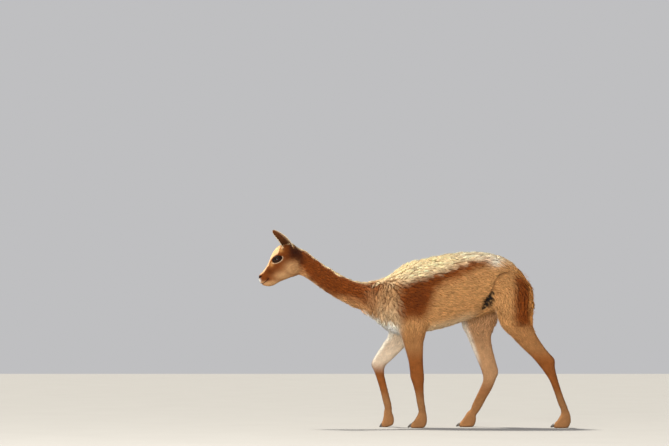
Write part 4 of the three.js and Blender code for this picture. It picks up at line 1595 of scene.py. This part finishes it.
def trunk_shares(p, names):
    """How much of each trunk coat a place has, in the order in which they are laid on."""
    x, z = p[:, 0], p[:, 2]
    leg = np.char.find(names, "leg") >= 0
    neck = names == "neck"
    core = (names == "torso") | (leg & (z > COAT_FADES["thigh"][0]))
    yield "flank", np.where(names == "torso", 1.0, coat_fade(z, "thigh")) * core
    yield "back", above_line(z, SAND_EDGE, x, "back") * core
    yield "rump", coat_fade(x, "rump x") * coat_fade(z, "rump z") * core
    yield "chest", core * spot(p, *CHEST_SPOT) * 1.3
    yield "neck", neck
    yield "low neck", neck * coat_fade(x, "low neck")
    bib = 1 - above_line(z, BIB_EDGE, x, "bib")
    yield "bib", bib * ((names == "torso") | neck) * (x < BIB_TO) * (x > BIB_FROM)
    groin, _ = line_distance(p, GROIN_LINE)
    yield "groin", core * (1 - coat_fade(groin, "groin"))
    fold, _ = line_distance(p, HIP_CREASE)
    yield "fold", core * np.exp(-(fold / FOLD_HALF) ** 2)


def end_shares(p, names):
    """The same for head, tail, ears and toes."""
    head = names == "head"
    yield "face", head
    yield "nape", head * coat_fade(p[:, 0], "nape")
    yield "forelock", head * spot(p, *FORELOCK_SPOT)
    yield "muzzle", head * (1 - coat_fade(p[:, 0], "muzzle"))
    yield "tail", names == "tail"
    yield "ear", np.char.find(names, "ear") >= 0
    yield "toe", np.char.find(names, "toe") >= 0


def coat_plan(p, part):
    """Length, width, lift and tufts to a square millimetre at each place. Each coat moves the
    plan a share of the way to its own numbers: plan + share (values - plan)."""
    names = np.array(PART_NAMES)[part]
    plan = np.tile(COAT["leg"], (len(p), 1))
    for shares in (trunk_shares, end_shares):
        for name, share in shares(p, names):
            plan = plan + np.clip(share, 0, 1)[:, None] * (np.array(COAT[name]) - plan)
    return plan


LENGTH = coat_plan(POINTS, PART)[:, 0]
print("tufts are", LENGTH.min().round(1), "to", LENGTH.max().round(1), "mm long")

# %% Bare places
BARE = {"sole": 4, "eye": 1.22, "mouth": 1.6, "mouth from": -757, "nostril": 0.06,
        "nostril from": -790}


def bare_places(p):
    """True where no hair grows: on and in the eye, in mouth and nostril, under the sole."""
    bare = p[:, 2] < BARE["sole"]
    for side in (-1, 1):
        ring, _, _, front = eye_rings(p, side)
        bare |= (ring < BARE["eye"]) & front
    far, _ = line_distance(p, MOUTH)
    bare |= (far < BARE["mouth"]) & (p[:, 0] < BARE["mouth from"])
    return bare | ((nostril_place(p) > BARE["nostril"]) & (p[:, 0] < BARE["nostril from"]))


print("bare points of the skin", int(bare_places(POINTS).sum()))

# %% [markdown]
# ## The skin's own finish
# On face and legs the hair is so short that the skin itself reads as fur. It carries the
# markings as a colour at every point, where a picture would need an unwrap, and fine noise
# breaks them up. Under the wool it is darker and warmer: the dark is painted shade in the cracks
# between locks, and the warmth is the wool's own cinnamon base.

# %% Painted markings


def set_colour(mesh, colour):
    """Stores a linear colour at every point of a mesh."""
    layer = mesh.color_attributes.new("markings", "FLOAT_COLOR", "POINT")
    rgba = np.concatenate([colour, np.ones((len(colour), 1))], 1)
    layer.data.foreach_set("color", rgba.ravel())


def add_markings(tree):
    """The colours painted on the points, as an output."""
    paint = tree.nodes.new("ShaderNodeVertexColor")
    paint.layer_name = "markings"
    return paint.outputs["Color"]


# painted shade: the skin under long wool is darkened, most in blue, for the cracks between locks
UNDER_WOOL = {"length": (7, 16), "skin": 0.92, "darker": np.array([0.38, 0.52, 0.62])}
wool_share = fade(LENGTH, *UNDER_WOOL["length"])
shade = UNDER_WOOL["skin"] - wool_share[:, None] * UNDER_WOOL["darker"]
set_colour(skin_mesh, COLOUR * shade)
print("share of the skin under wool", round(float(wool_share.mean()), 2))

# %% Short fur
MIX_FIRST, MIX_SECOND, MIX_RESULT = 6, 7, 2  # the colour sockets of a Mix node
FUR_TONES = ((0.62, 0.62, 0.62, 1), (1.0, 1.0, 1.0, 1))
SHEEN_TINT = (1.0, 0.72, 0.45, 1)


def multiply(tree, one, other, share=1.0):
    """One colour times another; at share 0 the first stays as it is."""
    times = tree.nodes.new("ShaderNodeMix")
    times.data_type = "RGBA"
    times.blend_type = "MULTIPLY"
    times.inputs["Factor"].default_value = share
    tree.links.new(one, times.inputs[MIX_FIRST])
    tree.links.new(other, times.inputs[MIX_SECOND])
    return times.outputs[MIX_RESULT]


def add_sheen(shader, sheen, shine):
    """A soft warm sheen, as fibres have, and a weak shine."""
    shader.inputs["Sheen Weight"].default_value = sheen
    shader.inputs["Sheen Tint"].default_value = SHEEN_TINT
    shader.inputs["Specular IOR Level"].default_value = shine


def fur_skin_material():
    """Short flat fur: the markings, broken up by fine noise, with a soft sheen."""
    material, tree, shader = start_material("short_fur", 0.92)
    fine = add_noise(tree, 420.0, 4.0)
    tone = add_ramp(tree, fine.outputs["Fac"], *FUR_TONES, low=0.3, high=0.72)
    tree.links.new(multiply(tree, add_markings(tree), tone), shader.inputs["Base Color"])
    add_bump(tree, shader, fine.outputs["Fac"], 0.7, 0.0015)
    add_sheen(shader, 0.05, 0.08)
    return material


skin_mesh.materials.clear()
skin_mesh.materials.append(fur_skin_material())
print("skin's material", skin_mesh.materials[0].name)

# %% Skin object
FLESH = ["head", "neck", "torso", "tail", "ear_left", "ear_right"]
FLESH += [f"{leg}_{part}" for leg in ("hindleg_left", "hindleg_right")
          for part in ("thigh", "shank", "lower", "foot")]
FLESH += [f"{leg}_{part}" for leg in ("foreleg_left", "foreleg_right")
          for part in ("upper", "lower", "foot")]
skin = add_object("skin", skin_mesh)
skin_mesh.name = "skin"
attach(skin, "root")
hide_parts(*FLESH)
print("skin replaces", len(FLESH), "nodes")

# %% [markdown]
# ## Eyes
# The eyeball is nearly all iris: very dark brown, with a wide flat pupil and a wet surface.
# A clear shell over an iris would be truer up close, but at this size a painted ball that
# bulges a little at the cornea looks the same.

# %% Eyeballs
BALL = {"rings": 40, "sides": 48, "pole": 0.03, "size": 0.985, "bulge": 0.03, "bell": 0.5}
PUPIL = {"wide": 0.42, "high": 0.24, "edge": (0.85, 1.1), "colour": linear(6, 5, 5)}
IRIS = {"middle": linear(52, 27, 15), "rim": linear(22, 11, 8), "edge": (0.5, 0.75)}


def side_name(side):
    """The word for a side: -1 is left, 1 is right."""
    return "left" if side < 0 else "right"


def iris_colour(wide, high):
    """Dark brown, darker to the rim, with a pupil that is a flat oval."""
    colour = np.tile(IRIS["middle"], (len(wide), 1))
    colour = mix(colour, IRIS["rim"], fade(np.hypot(wide, high), *IRIS["edge"]))
    oval = np.hypot(wide / PUPIL["wide"], high / PUPIL["high"])
    return mix(colour, PUPIL["colour"], 1 - fade(oval, *PUPIL["edge"]))


def eyeball(side):
    """A sphere about the line of sight, pushed out by a low bell at the cornea: radius
    (size + bulge exp(-(angle / bell)^2)) at an angle from the way the eye looks."""
    centre, long_axis, up, look = eye_frame(side)
    rings, sides = BALL["rings"], BALL["sides"]
    polar = np.linspace(BALL["pole"], np.pi - BALL["pole"], rings)[:, None]
    angle = np.linspace(0, 2 * np.pi, sides, endpoint=False)[None, :]
    cornea = BALL["bulge"] * np.exp(-(polar / BALL["bell"]) ** 2)
    radius = EYE["radius"] * (BALL["size"] + cornea)
    grid = centre + radius[:, :, None] * (
        (np.cos(polar) + 0 * angle)[:, :, None] * look
        + (np.sin(polar) * np.cos(angle))[:, :, None] * long_axis
        + (np.sin(polar) * np.sin(angle))[:, :, None] * up)
    points = grid_points(grid)
    piece = make_object(f"eyeball_{side_name(side)}", to_metres(points),
                        grid_faces(rings, sides))
    offset = (points - centre) / EYE["radius"]
    set_colour(piece.data, iris_colour(offset @ long_axis, offset @ up))
    return piece


def wet_material():
    """Dark and wet: a smooth shader with a weak shine over the painted iris, which fine noise
    breaks up."""
    material, tree, shader = start_material("wet_eye", 0.09)
    streak = add_noise(tree, 900.0, 2.0)
    colour = multiply(tree, add_markings(tree), streak.outputs["Color"], 0.4)
    tree.links.new(colour, shader.inputs["Base Color"])
    shader.inputs["Specular IOR Level"].default_value = 0.14
    return material


wet = wet_material()
print("eyeballs' material", wet.name)

# %% [markdown]
# ## Lid rims
# The bare edge of each lid is a dark, slightly damp line. Painted on the skin it would look
# flat, so it is a thin tube that follows the almond on the ball and covers the skin's edge,
# thicker on the upper lid. Ball and rim are then set together, one eye after the other.

# %% Lid rims
RIM = {"points": 72, "sides": 10, "corner": 1.15, "proud": 0.6, "thick": 1.25, "upper": 0.35,
       "broad": 1.25}
LEAST_SQUARE = 4.0


def on_ball(p, q, proud):
    """How far along the look a point lies that is proud of the ball: the root of the radius
    squared less p squared and q squared."""
    return np.sqrt(np.maximum((EYE["radius"] + proud)**2 - p**2 - q**2, LEAST_SQUARE))


def closed_tube_faces(count, sides):
    """Quads of a tube whose last ring joins the first."""
    ring, spoke = np.meshgrid(np.arange(count), np.arange(sides), indexing="ij")
    following = (ring + 1) % count
    a, b = ring * sides + spoke, ring * sides + (spoke + 1) % sides
    c, d = following * sides + (spoke + 1) % sides, following * sides + spoke
    return np.stack([a, b, c, d], -1).reshape(-1, 4).tolist()


def lid_rim(side):
    """A thin tube along the almond on the eyeball: long axis cos, up axis sin to a power."""
    centre, long_axis, up, look = eye_frame(side)
    turn = np.linspace(0, 2 * np.pi, RIM["points"], endpoint=False)
    p = LID_LONG * np.cos(turn)
    q = LID_HIGH * signed_power(np.sin(turn), RIM["corner"])
    r = on_ball(p, q, RIM["proud"])
    path = centre + p[:, None] * long_axis + q[:, None] * up + r[:, None] * look
    ahead = unit(np.roll(path, -1, 0) - np.roll(path, 1, 0))
    out = unit(path - centre)
    across = np.cross(ahead, out)
    angle = np.linspace(0, 2 * np.pi, RIM["sides"], endpoint=False)
    thick = RIM["thick"] + RIM["upper"] * np.sin(turn)
    grid = path[:, None] + thick[:, None, None] * (
        np.cos(angle)[None, :, None] * across[:, None] * RIM["broad"]
        + np.sin(angle)[None, :, None] * out[:, None])
    return make_object(f"lid_rim_{side_name(side)}", to_metres(grid.reshape(-1, 3)),
                       closed_tube_faces(RIM["points"], RIM["sides"]))


def dark_skin_material():
    """Bare dark skin: fine pores and a faint damp shine."""
    material, tree, shader = start_material("bare_skin", 0.7)
    noise = add_noise(tree, 700.0)
    tone = add_ramp(tree, noise.outputs["Fac"], (0.012, 0.006, 0.004, 1),
                    (0.032, 0.017, 0.010, 1))
    tree.links.new(tone, shader.inputs["Base Color"])
    add_bump(tree, shader, noise.outputs["Fac"], 0.5, 0.0006)
    shader.inputs["Specular IOR Level"].default_value = 0.15
    return material


bare_skin = dark_skin_material()
print("lid rims' material", bare_skin.name)

# %% Set the eyes
for side in (-1, 1):
    ball = eyeball(side)
    ball.data.materials.append(wet)
    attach(ball, "root")
    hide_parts(f"eye_{side_name(side)}")
    rim = lid_rim(side)
    rim.data.materials.append(bare_skin)
    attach(rim, "root")
print("eyes set at", EYE)

# %% [markdown]
# ## Nails
# Each toe ends in one dark nail that curves to the ground. It is a short loft in the place of
# its solid, from the same table. The grain of the horn is too fine to model and lies in the
# material, which is half matt.

# %% Nails


def horn_material():
    """Dark horn with a fine mottled grain."""
    material, tree, shader = start_material("horn", 0.42)
    noise = add_noise(tree, 260.0, 2.0)
    tone = add_ramp(tree, noise.outputs["Fac"], (0.018, 0.013, 0.010, 1),
                    (0.075, 0.055, 0.042, 1))
    tree.links.new(tone, shader.inputs["Base Color"])
    add_bump(tree, shader, noise.outputs["Fac"], 0.4, 0.0008)
    return material


horn = horn_material()
NAIL_GRID = (22, 20)
NAIL_INSET = 0.3


def make_nail(leg_name, leg, splay):
    """One smooth nail in the place of its solid, never below the sole."""
    rows = foot_table(NAIL, leg["foot"], splay)
    foot_y = leg["side"] * leg["spread"][0]
    grid = loft(rows, *NAIL_GRID, square=2, inset=NAIL_INSET, y=foot_y)
    grid[:, :, 2] = np.maximum(grid[:, :, 2], SOLE_Z)
    place = "outer" if splay * leg["side"] > 0 else "inner"
    name = f"{leg_name}_nail_{place}"
    piece = make_object(f"horn_{name}", to_metres(grid_points(grid)), grid_faces(*NAIL_GRID))
    piece.data.materials.append(horn)
    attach(piece, "root")
    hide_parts(name)


for leg_name, leg in LEGS.items():
    for splay in (-1, 1):
        make_nail(leg_name, leg, splay)
print("nails", 2 * len(LEGS))

# %% [markdown]
# ## The coat
# Wool is not a surface but many fine staples that lie together. Each tuft here is a slim
# three-sided spike with a bend, rooted in the skin. Blender's hair would render well but isn't
# solid, and flat cards vanish from the side. Tufts near each other lean to one shared tip, and
# so make the small clumps with cracks between them that the photo shows.

# %% Roots of the coat
ROOT_SEED = 20


def triangle_table(mesh):
    """The skin's triangles and their areas."""
    flat = np.empty(len(mesh.polygons) * 3, int)
    mesh.polygons.foreach_get("vertices", flat)
    triangles = flat.reshape(-1, 3)
    a, b, c = (POINTS[triangles[:, k]] for k in range(3))
    return triangles, 0.5 * np.linalg.norm(np.cross(b - a, c - a), axis=1)


TRIANGLES, AREA = triangle_table(skin_mesh)


def scatter_roots(seed):
    """Random places on the skin, as many to each triangle as its area asks."""
    random = np.random.default_rng(seed)
    density = coat_plan(POINTS, PART)[:, 3]
    wanted = AREA * density[TRIANGLES].mean(1)
    count = np.floor(wanted + random.random(len(wanted))).astype(int)
    owner = np.repeat(np.arange(len(count)), count)
    a, b = random.random((2, len(owner)))
    flip = a + b > 1
    a[flip], b[flip] = 1 - a[flip], 1 - b[flip]
    weight = np.stack([1 - a - b, a, b], 1)[:, :, None]
    corners = TRIANGLES[owner]

    def blend(field):
        return (field[corners] * weight).sum(1)

    roots = {"point": blend(POINTS), "normal": blend(NORMAL), "lie": blend(LIE),
             "colour": blend(COLOUR), "place": PLACE[corners[:, 0]],
             "part": PART[corners[:, 0]]}
    keep = ~bare_places(roots["point"])
    return {key: value[keep] for key, value in roots.items()}


ROOTS = scatter_roots(ROOT_SEED)
print("roots", len(ROOTS["point"]))

# %% Clumps
CELL_PRIMES = (73856093, 19349663, 83492791)  # large primes give each cell a number of its own
NEAR_LEADERS = 6
ALONG_DISCOUNT = 0.78


def cell_leaders(points, size, random):
    """One random tuft of every cubic cell that holds any."""
    order = random.permutation(len(points))
    cell = np.floor(points / size).astype(np.int64)
    key = (cell[:, 0] * CELL_PRIMES[0] ^ cell[:, 1] * CELL_PRIMES[1]
           ^ cell[:, 2] * CELL_PRIMES[2])
    _, first = np.unique(key[order], return_index=True)
    return order[first]


def clump_leaders(points, lie, size, seed):
    """For each tuft the leader of its clump. Of the six nearest leaders it takes the one
    that is nearest when distance along the lie counts for less, so clumps are long locks."""
    leaders = cell_leaders(points, size, np.random.default_rng(seed))
    tree = KDTree(len(leaders))
    for index, leader in enumerate(leaders.tolist()):
        tree.insert(points[leader].tolist(), index)
    tree.balance()
    near = np.array([[hit[1] for hit in tree.find_n(point, NEAR_LEADERS)]
                     for point in points.tolist()])
    offset = points[leaders[near]] - points[:, None]
    along = (offset * lie[:, None]).sum(2)
    far = (offset**2).sum(2) - ALONG_DISCOUNT * along**2
    return leaders[near[np.arange(len(points)), far.argmin(1)]]


print("cells of 21 mm", len(cell_leaders(ROOTS["point"], 21.0, np.random.default_rng(0))))

# %% [markdown]
# ## How a tuft grows
# Equal tufts would look like a brush, so each has its own length, lean and tone. Hair, wool
# and shaggy wool differ in how far they turn with the curls, how strongly they are drawn into
# a clump, and how much of its colour they share. A few stray fibres stand out.

# %% Kinds of tuft
SHAGGY_FROM = 19.5
BY_KIND = {  # hair, wool, shaggy wool
    "turn": np.array([0.12, 0.30, 0.30]), "pull": np.array([0.12, 0.72, 0.82]),
    "colour": np.array([0.2, 0.6, 0.75])}
JITTER = {"kind": (0.70, 1.30), "length": (0.72, 1.15), "width": (0.8, 1.2),
          "pull": (0.7, 1.1), "lie": 0.14, "tone": 0.09, "clump tone": 0.12}
CURL = {"size": 70, "seed": 31, "lift": 0.35, "lift size": 40, "lift seed": 41}
LIFT_LIMITS = (0.03, 0.95)
# painted light: stray fibres are 1.25 times lighter, a sunlit halo of loose fibres
STRAY = {"share": 0.08, "lift": (0.55, 0.85), "width": 0.35, "tone": 1.25}
CLUMP_SIZE = {"shaggy": 21.0, "short": 11.0}
ALONG_PULL = 0.3
TONE_LIMITS = (0.6, 1.45)
ROOT_DEPTH = 1.0
BEND_LIFT = 0.11


def tuft_sizes(p, part, random):
    """Length, width and lift of each tuft, and its kind: 0 hair, 1 wool, 2 shaggy wool."""
    count = len(p)
    long, wide, lift, _ = coat_plan(p, part).T
    is_wool = long * random.uniform(*JITTER["kind"], count) > WOOL_FROM
    kind = is_wool.astype(int) + (long > SHAGGY_FROM)
    long = long * random.uniform(*JITTER["length"], count)
    wide = wide * random.uniform(*JITTER["width"], count)
    return long, wide, lift, kind


def tuft_lie(roots, normal, kind, random):
    """The lie at each root, turned by curls that neighbours share, flat on the skin."""
    p = roots["point"]
    turn = BY_KIND["turn"][kind][:, None]
    lie = roots["lie"] + JITTER["lie"] * random.normal(size=(len(p), 3))
    curls = [wave_noise(p, CURL["size"], CURL["seed"] + axis) for axis in range(3)]
    lie += turn * np.stack(curls, 1)
    return unit(lie - normal * (lie * normal).sum(1, keepdims=True))


print("kinds of tuft", len(BY_KIND["pull"]))

# %% Grow the tufts
GROW_SEED = 77


def gather(p, tips, lie, kind, stray, seed, random):
    """Draws each tip towards its leader's, less so along the lie. Returns tips and leaders."""
    leader = np.where(kind == 2, clump_leaders(p, lie, CLUMP_SIZE["shaggy"], seed + 1),
                      clump_leaders(p, lie, CLUMP_SIZE["short"], seed + 2))
    shift = tips[leader] - tips
    along = lie * (shift * lie).sum(1, keepdims=True)
    pull = BY_KIND["pull"][kind] * ~stray
    pull = (pull * random.uniform(*JITTER["pull"], len(p)))[:, None]
    return tips + pull * (shift - along) + ALONG_PULL * pull * along, leader


def tuft_tone(leader, stray, random):
    """How light each tuft is: its own chance and its clump's, and strays light throughout, as
    painted sunlight on a halo of loose fibres.
    """
    count = len(leader)
    tone = (1 + JITTER["tone"] * random.normal(size=count)
            + JITTER["clump tone"] * random.normal(size=count)[leader])
    return np.where(stray, STRAY["tone"], np.clip(tone, *TONE_LIMITS))


def grow(roots, seed):
    """Root, bend and tip of every tuft, gathered into clumps, with its tone."""
    random = np.random.default_rng(seed)
    p = roots["point"]
    normal = unit(roots["normal"])
    long, wide, lift, kind = tuft_sizes(p, roots["part"], random)
    lie = tuft_lie(roots, normal, kind, random)
    waves = wave_noise(p, CURL["lift size"], CURL["lift seed"])
    lift = np.clip(lift * (1 + CURL["lift"] * waves), *LIFT_LIMITS)
    stray = (kind > 0) & (random.random(len(p)) < STRAY["share"])
    lift = np.where(stray, random.uniform(*STRAY["lift"], len(p)), lift)
    wide = np.where(stray, STRAY["width"] * wide, wide)
    way = lie * np.sqrt(1 - lift**2)[:, None] + normal * lift[:, None]
    tips = p + way * long[:, None]
    tips, leader = gather(p, tips, lie, kind, stray, seed, random)
    bend = p + 0.5 * (tips - p) + normal * (BEND_LIFT * long)[:, None]
    tone = tuft_tone(leader, stray, random)
    share = BY_KIND["colour"][kind][:, None]
    colour = roots["colour"] + share * (roots["colour"][leader] - roots["colour"])
    return {"base": p - normal * ROOT_DEPTH, "bend": bend, "tip": tips, "wide": wide,
            "tone": tone, "across": np.cross(normal, lie), "normal": normal,
            "wool": kind > 0, "colour": colour}


GROWN = grow(ROOTS, GROW_SEED)
print("wool tufts", int(GROWN["wool"].sum()), "hairs", int((~GROWN["wool"]).sum()))

# %% [markdown]
# ## Tufts as meshes
# Two hundred thousand tufts can't be objects of their own. They fill a few large meshes, ten
# triangles to a wool spike and four to a hair. Each is darker and warmer at its root, where
# real wool holds its shade, and lighter at its tip.

# %% Form and shade of a tuft
WOOL_FACES = np.array([
    (0, 1, 4), (0, 4, 3), (1, 2, 5), (1, 5, 4), (2, 0, 3), (2, 3, 5),
    (3, 4, 6), (4, 5, 6), (5, 3, 6), (0, 2, 1),
])
WOOL_UV = np.array([(0, 0), (0.5, 0), (1, 0), (0, 0.55), (0.5, 0.55), (1, 0.55), (0.5, 1)])
# painted shade and light along each tuft: dark at the root, lighter than its colour at the tip
WOOL_SHADE = np.array([0.50, 0.50, 0.50, 0.90, 0.90, 0.90, 1.14])
HAIR_FACES = np.array([(0, 1, 3), (1, 2, 3), (2, 0, 3), (0, 2, 1)])
HAIR_UV = np.array([(0, 0), (0.5, 0), (1, 0), (0.5, 1)])
HAIR_SHADE = np.array([0.80, 0.80, 0.80, 1.10])
WARM_ROOTS = np.array([0.85, 1.15, 1.5])
PALE_PASSES = 0.75


def corner_ring(across, normal, flat):
    """Three corners about a tuft's axis, flattened towards the skin."""
    angle = np.linspace(0, 2 * np.pi, 3, endpoint=False) + 0.5
    return (np.cos(angle)[None, :, None] * across[:, None]
            + flat * np.sin(angle)[None, :, None] * normal[:, None])


def shaded(colour, tone, shade):
    """Each tuft's colour, darker at its root and lighter at its tip, the less so the paler
    it is, since pale fibres pass more light down to their roots."""
    pale = np.clip(colour.mean(1), 0, 1)[:, None, None]
    shade = shade[None, :, None] ** ((1 - PALE_PASSES * pale) * WARM_ROOTS)
    return np.clip(colour[:, None] * tone[:, None, None] * shade, *MARKING_LIMITS)


print("triangles to a spike", len(WOOL_FACES), "and to a hair", len(HAIR_FACES))

# %% Wool


def wool_material():
    """Wool: the markings on a matt shader with a soft sheen and a fine crimp."""
    material, tree, shader = start_material("wool", 0.95)
    tree.links.new(add_markings(tree), shader.inputs["Base Color"])
    crimp = add_noise(tree, 900.0, 2.0)
    add_bump(tree, shader, crimp.outputs["Fac"], 0.35, 0.0008)
    add_sheen(shader, 0.06, 0.05)
    return material


wool = wool_material()
print("coat's material", wool.name)

# %% Tuft meshes
PATCH = 0.003  # the size of one tuft's own patch on the unwrap
MOST = 190000  # triangles to a piece


def make_tufts(name, points, colours, places, faces, uv, material):
    """One mesh of many tufts of one kind, with its colours and its OFBake map."""
    count, corners = points.shape[:2]
    mesh = bpy.data.meshes.new(name)
    table = (faces[None] + corners * np.arange(count)[:, None, None]).reshape(-1, 3)
    mesh.vertices.add(count * corners)
    mesh.vertices.foreach_set("co", to_metres(points.reshape(-1, 3)).ravel())
    mesh.loops.add(table.size)
    mesh.loops.foreach_set("vertex_index", table.ravel())
    mesh.polygons.add(len(table))
    mesh.polygons.foreach_set("loop_start", np.arange(0, table.size, 3))
    mesh.polygons.foreach_set("use_smooth", np.ones(len(table), bool))
    mesh.update(calc_edges=True)
    mesh.validate()
    set_colour(mesh, colours.reshape(-1, 3))
    spots = places[:, None] + PATCH * (uv[None] - 0.5)
    layer = mesh.uv_layers.new(name="OFBake")
    layer.data.foreach_set("uv", spots.reshape(-1, 2)[table.ravel()].ravel())
    mesh.materials.append(material)
    piece = add_object(name, mesh)
    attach(piece, "root")
    return piece


def split_pieces(name, points, colours, places, faces, uv):
    """Cuts a coat into meshes below the most triangles, by place along the body."""
    order = np.argsort(points[:, 0, 0], kind="stable")
    per_piece = MOST // len(faces)
    starts = range(0, len(order), per_piece)
    for number, start in enumerate(starts):
        chosen = order[start:start + per_piece]
        make_tufts(f"{name}_{number + 1}", points[chosen], colours[chosen], places[chosen],
                   faces, uv, wool)
    print(name, "pieces", len(starts), "tufts", len(order), "triangles",
          len(order) * len(faces))


print("most tufts to a piece", MOST // len(WOOL_FACES), "spikes", MOST // len(HAIR_FACES), "hairs")

# %% Make the coat
FLAT = 0.55
BEND_WIDTH = 0.8
LOWEST = 0.5


def make_coat(grown, places):
    """Long tufts as bent spikes, short ones as plain hairs, none below the floor."""
    ring = corner_ring(grown["across"], grown["normal"], FLAT)
    half = (grown["wide"] * 0.5)[:, None, None]
    low = grown["base"][:, None] + ring * half
    middle = grown["bend"][:, None] + ring * half * BEND_WIDTH
    tip = grown["tip"][:, None]
    wool_here = grown["wool"]
    spikes = np.concatenate([low, middle, tip], 1)[wool_here]
    hairs = np.concatenate([low, tip], 1)[~wool_here]
    kinds = (("coat_wool", spikes, wool_here, WOOL_SHADE, WOOL_FACES, WOOL_UV),
             ("coat_hair", hairs, ~wool_here, HAIR_SHADE, HAIR_FACES, HAIR_UV))
    for name, points, here, shade, faces, uv in kinds:
        points[:, :, 2] = np.maximum(points[:, :, 2], LOWEST)
        colours = shaded(grown["colour"][here], grown["tone"][here], shade)
        split_pieces(name, points, colours, places[here], faces, uv)


make_coat(GROWN, ROOTS["place"])

# %% [markdown]
# ## Lashes
# Long dark lashes shade the eye from a strong sun. They root along the upper lid and sweep out
# and forward. Each is a spike like those of the wool, so no new mesh code is needed.

# %% Lashes
LASH = {"count": 44, "long": 9.0, "wide": 0.8, "ends": 0.35, "out": 1.02, "above": 1.04,
        "proud": 1.2, "jitter": 0.15, "length": (0.7, 1.1), "sag": 1.2, "taper": 0.7}
LASH_WAY = {"look": 0.8, "spread": 0.35, "down": 0.10}
LASH_PLACE = {"u": 0.62, "apart": 0.02, "v": 0.10}
LASH_SEED = 5


def make_lashes(side):
    """Thin spikes along the upper lid, from one corner of the almond to the other."""
    random = np.random.default_rng(LASH_SEED + side)
    count = LASH["count"]
    centre, long_axis, up, look = eye_frame(side)
    turn = np.linspace(LASH["ends"], np.pi - LASH["ends"], count)
    run = LID_LONG * LASH["out"] * np.cos(turn)
    high = LID_HIGH * LASH["above"] * np.sin(turn)
    out = on_ball(run, high, LASH["proud"])
    base = (centre + run[:, None] * long_axis + high[:, None] * up + out[:, None] * look)
    way = unit(LASH_WAY["look"] * look
               + LASH_WAY["spread"] * np.cos(turn)[:, None] * long_axis
               - LASH_WAY["down"] * up + LASH["jitter"] * random.normal(size=(count, 3)))
    tip = base + way * LASH["long"] * random.uniform(*LASH["length"], (count, 1))
    bend = base + 0.5 * (tip - base) - LASH["sag"] * up
    across = unit(np.cross(way, up))
    ring = corner_ring(across, np.tile(up, (count, 1)), 1.0) * LASH["wide"] / 2
    points = np.concatenate([base[:, None] + ring, bend[:, None] + LASH["taper"] * ring,
                             tip[:, None]], 1)
    colours = np.tile(DARK * 0.5, (count, len(WOOL_UV), 1))
    u = LASH_PLACE["u"] + LASH_PLACE["apart"] * side
    places = np.tile([u, LASH_PLACE["v"]], (count, 1))
    make_tufts(f"lashes_{side_name(side)}", points, colours, places, WOOL_FACES, WOOL_UV, wool)


for side in (-1, 1):
    make_lashes(side)
print("lashes", 2 * LASH["count"])
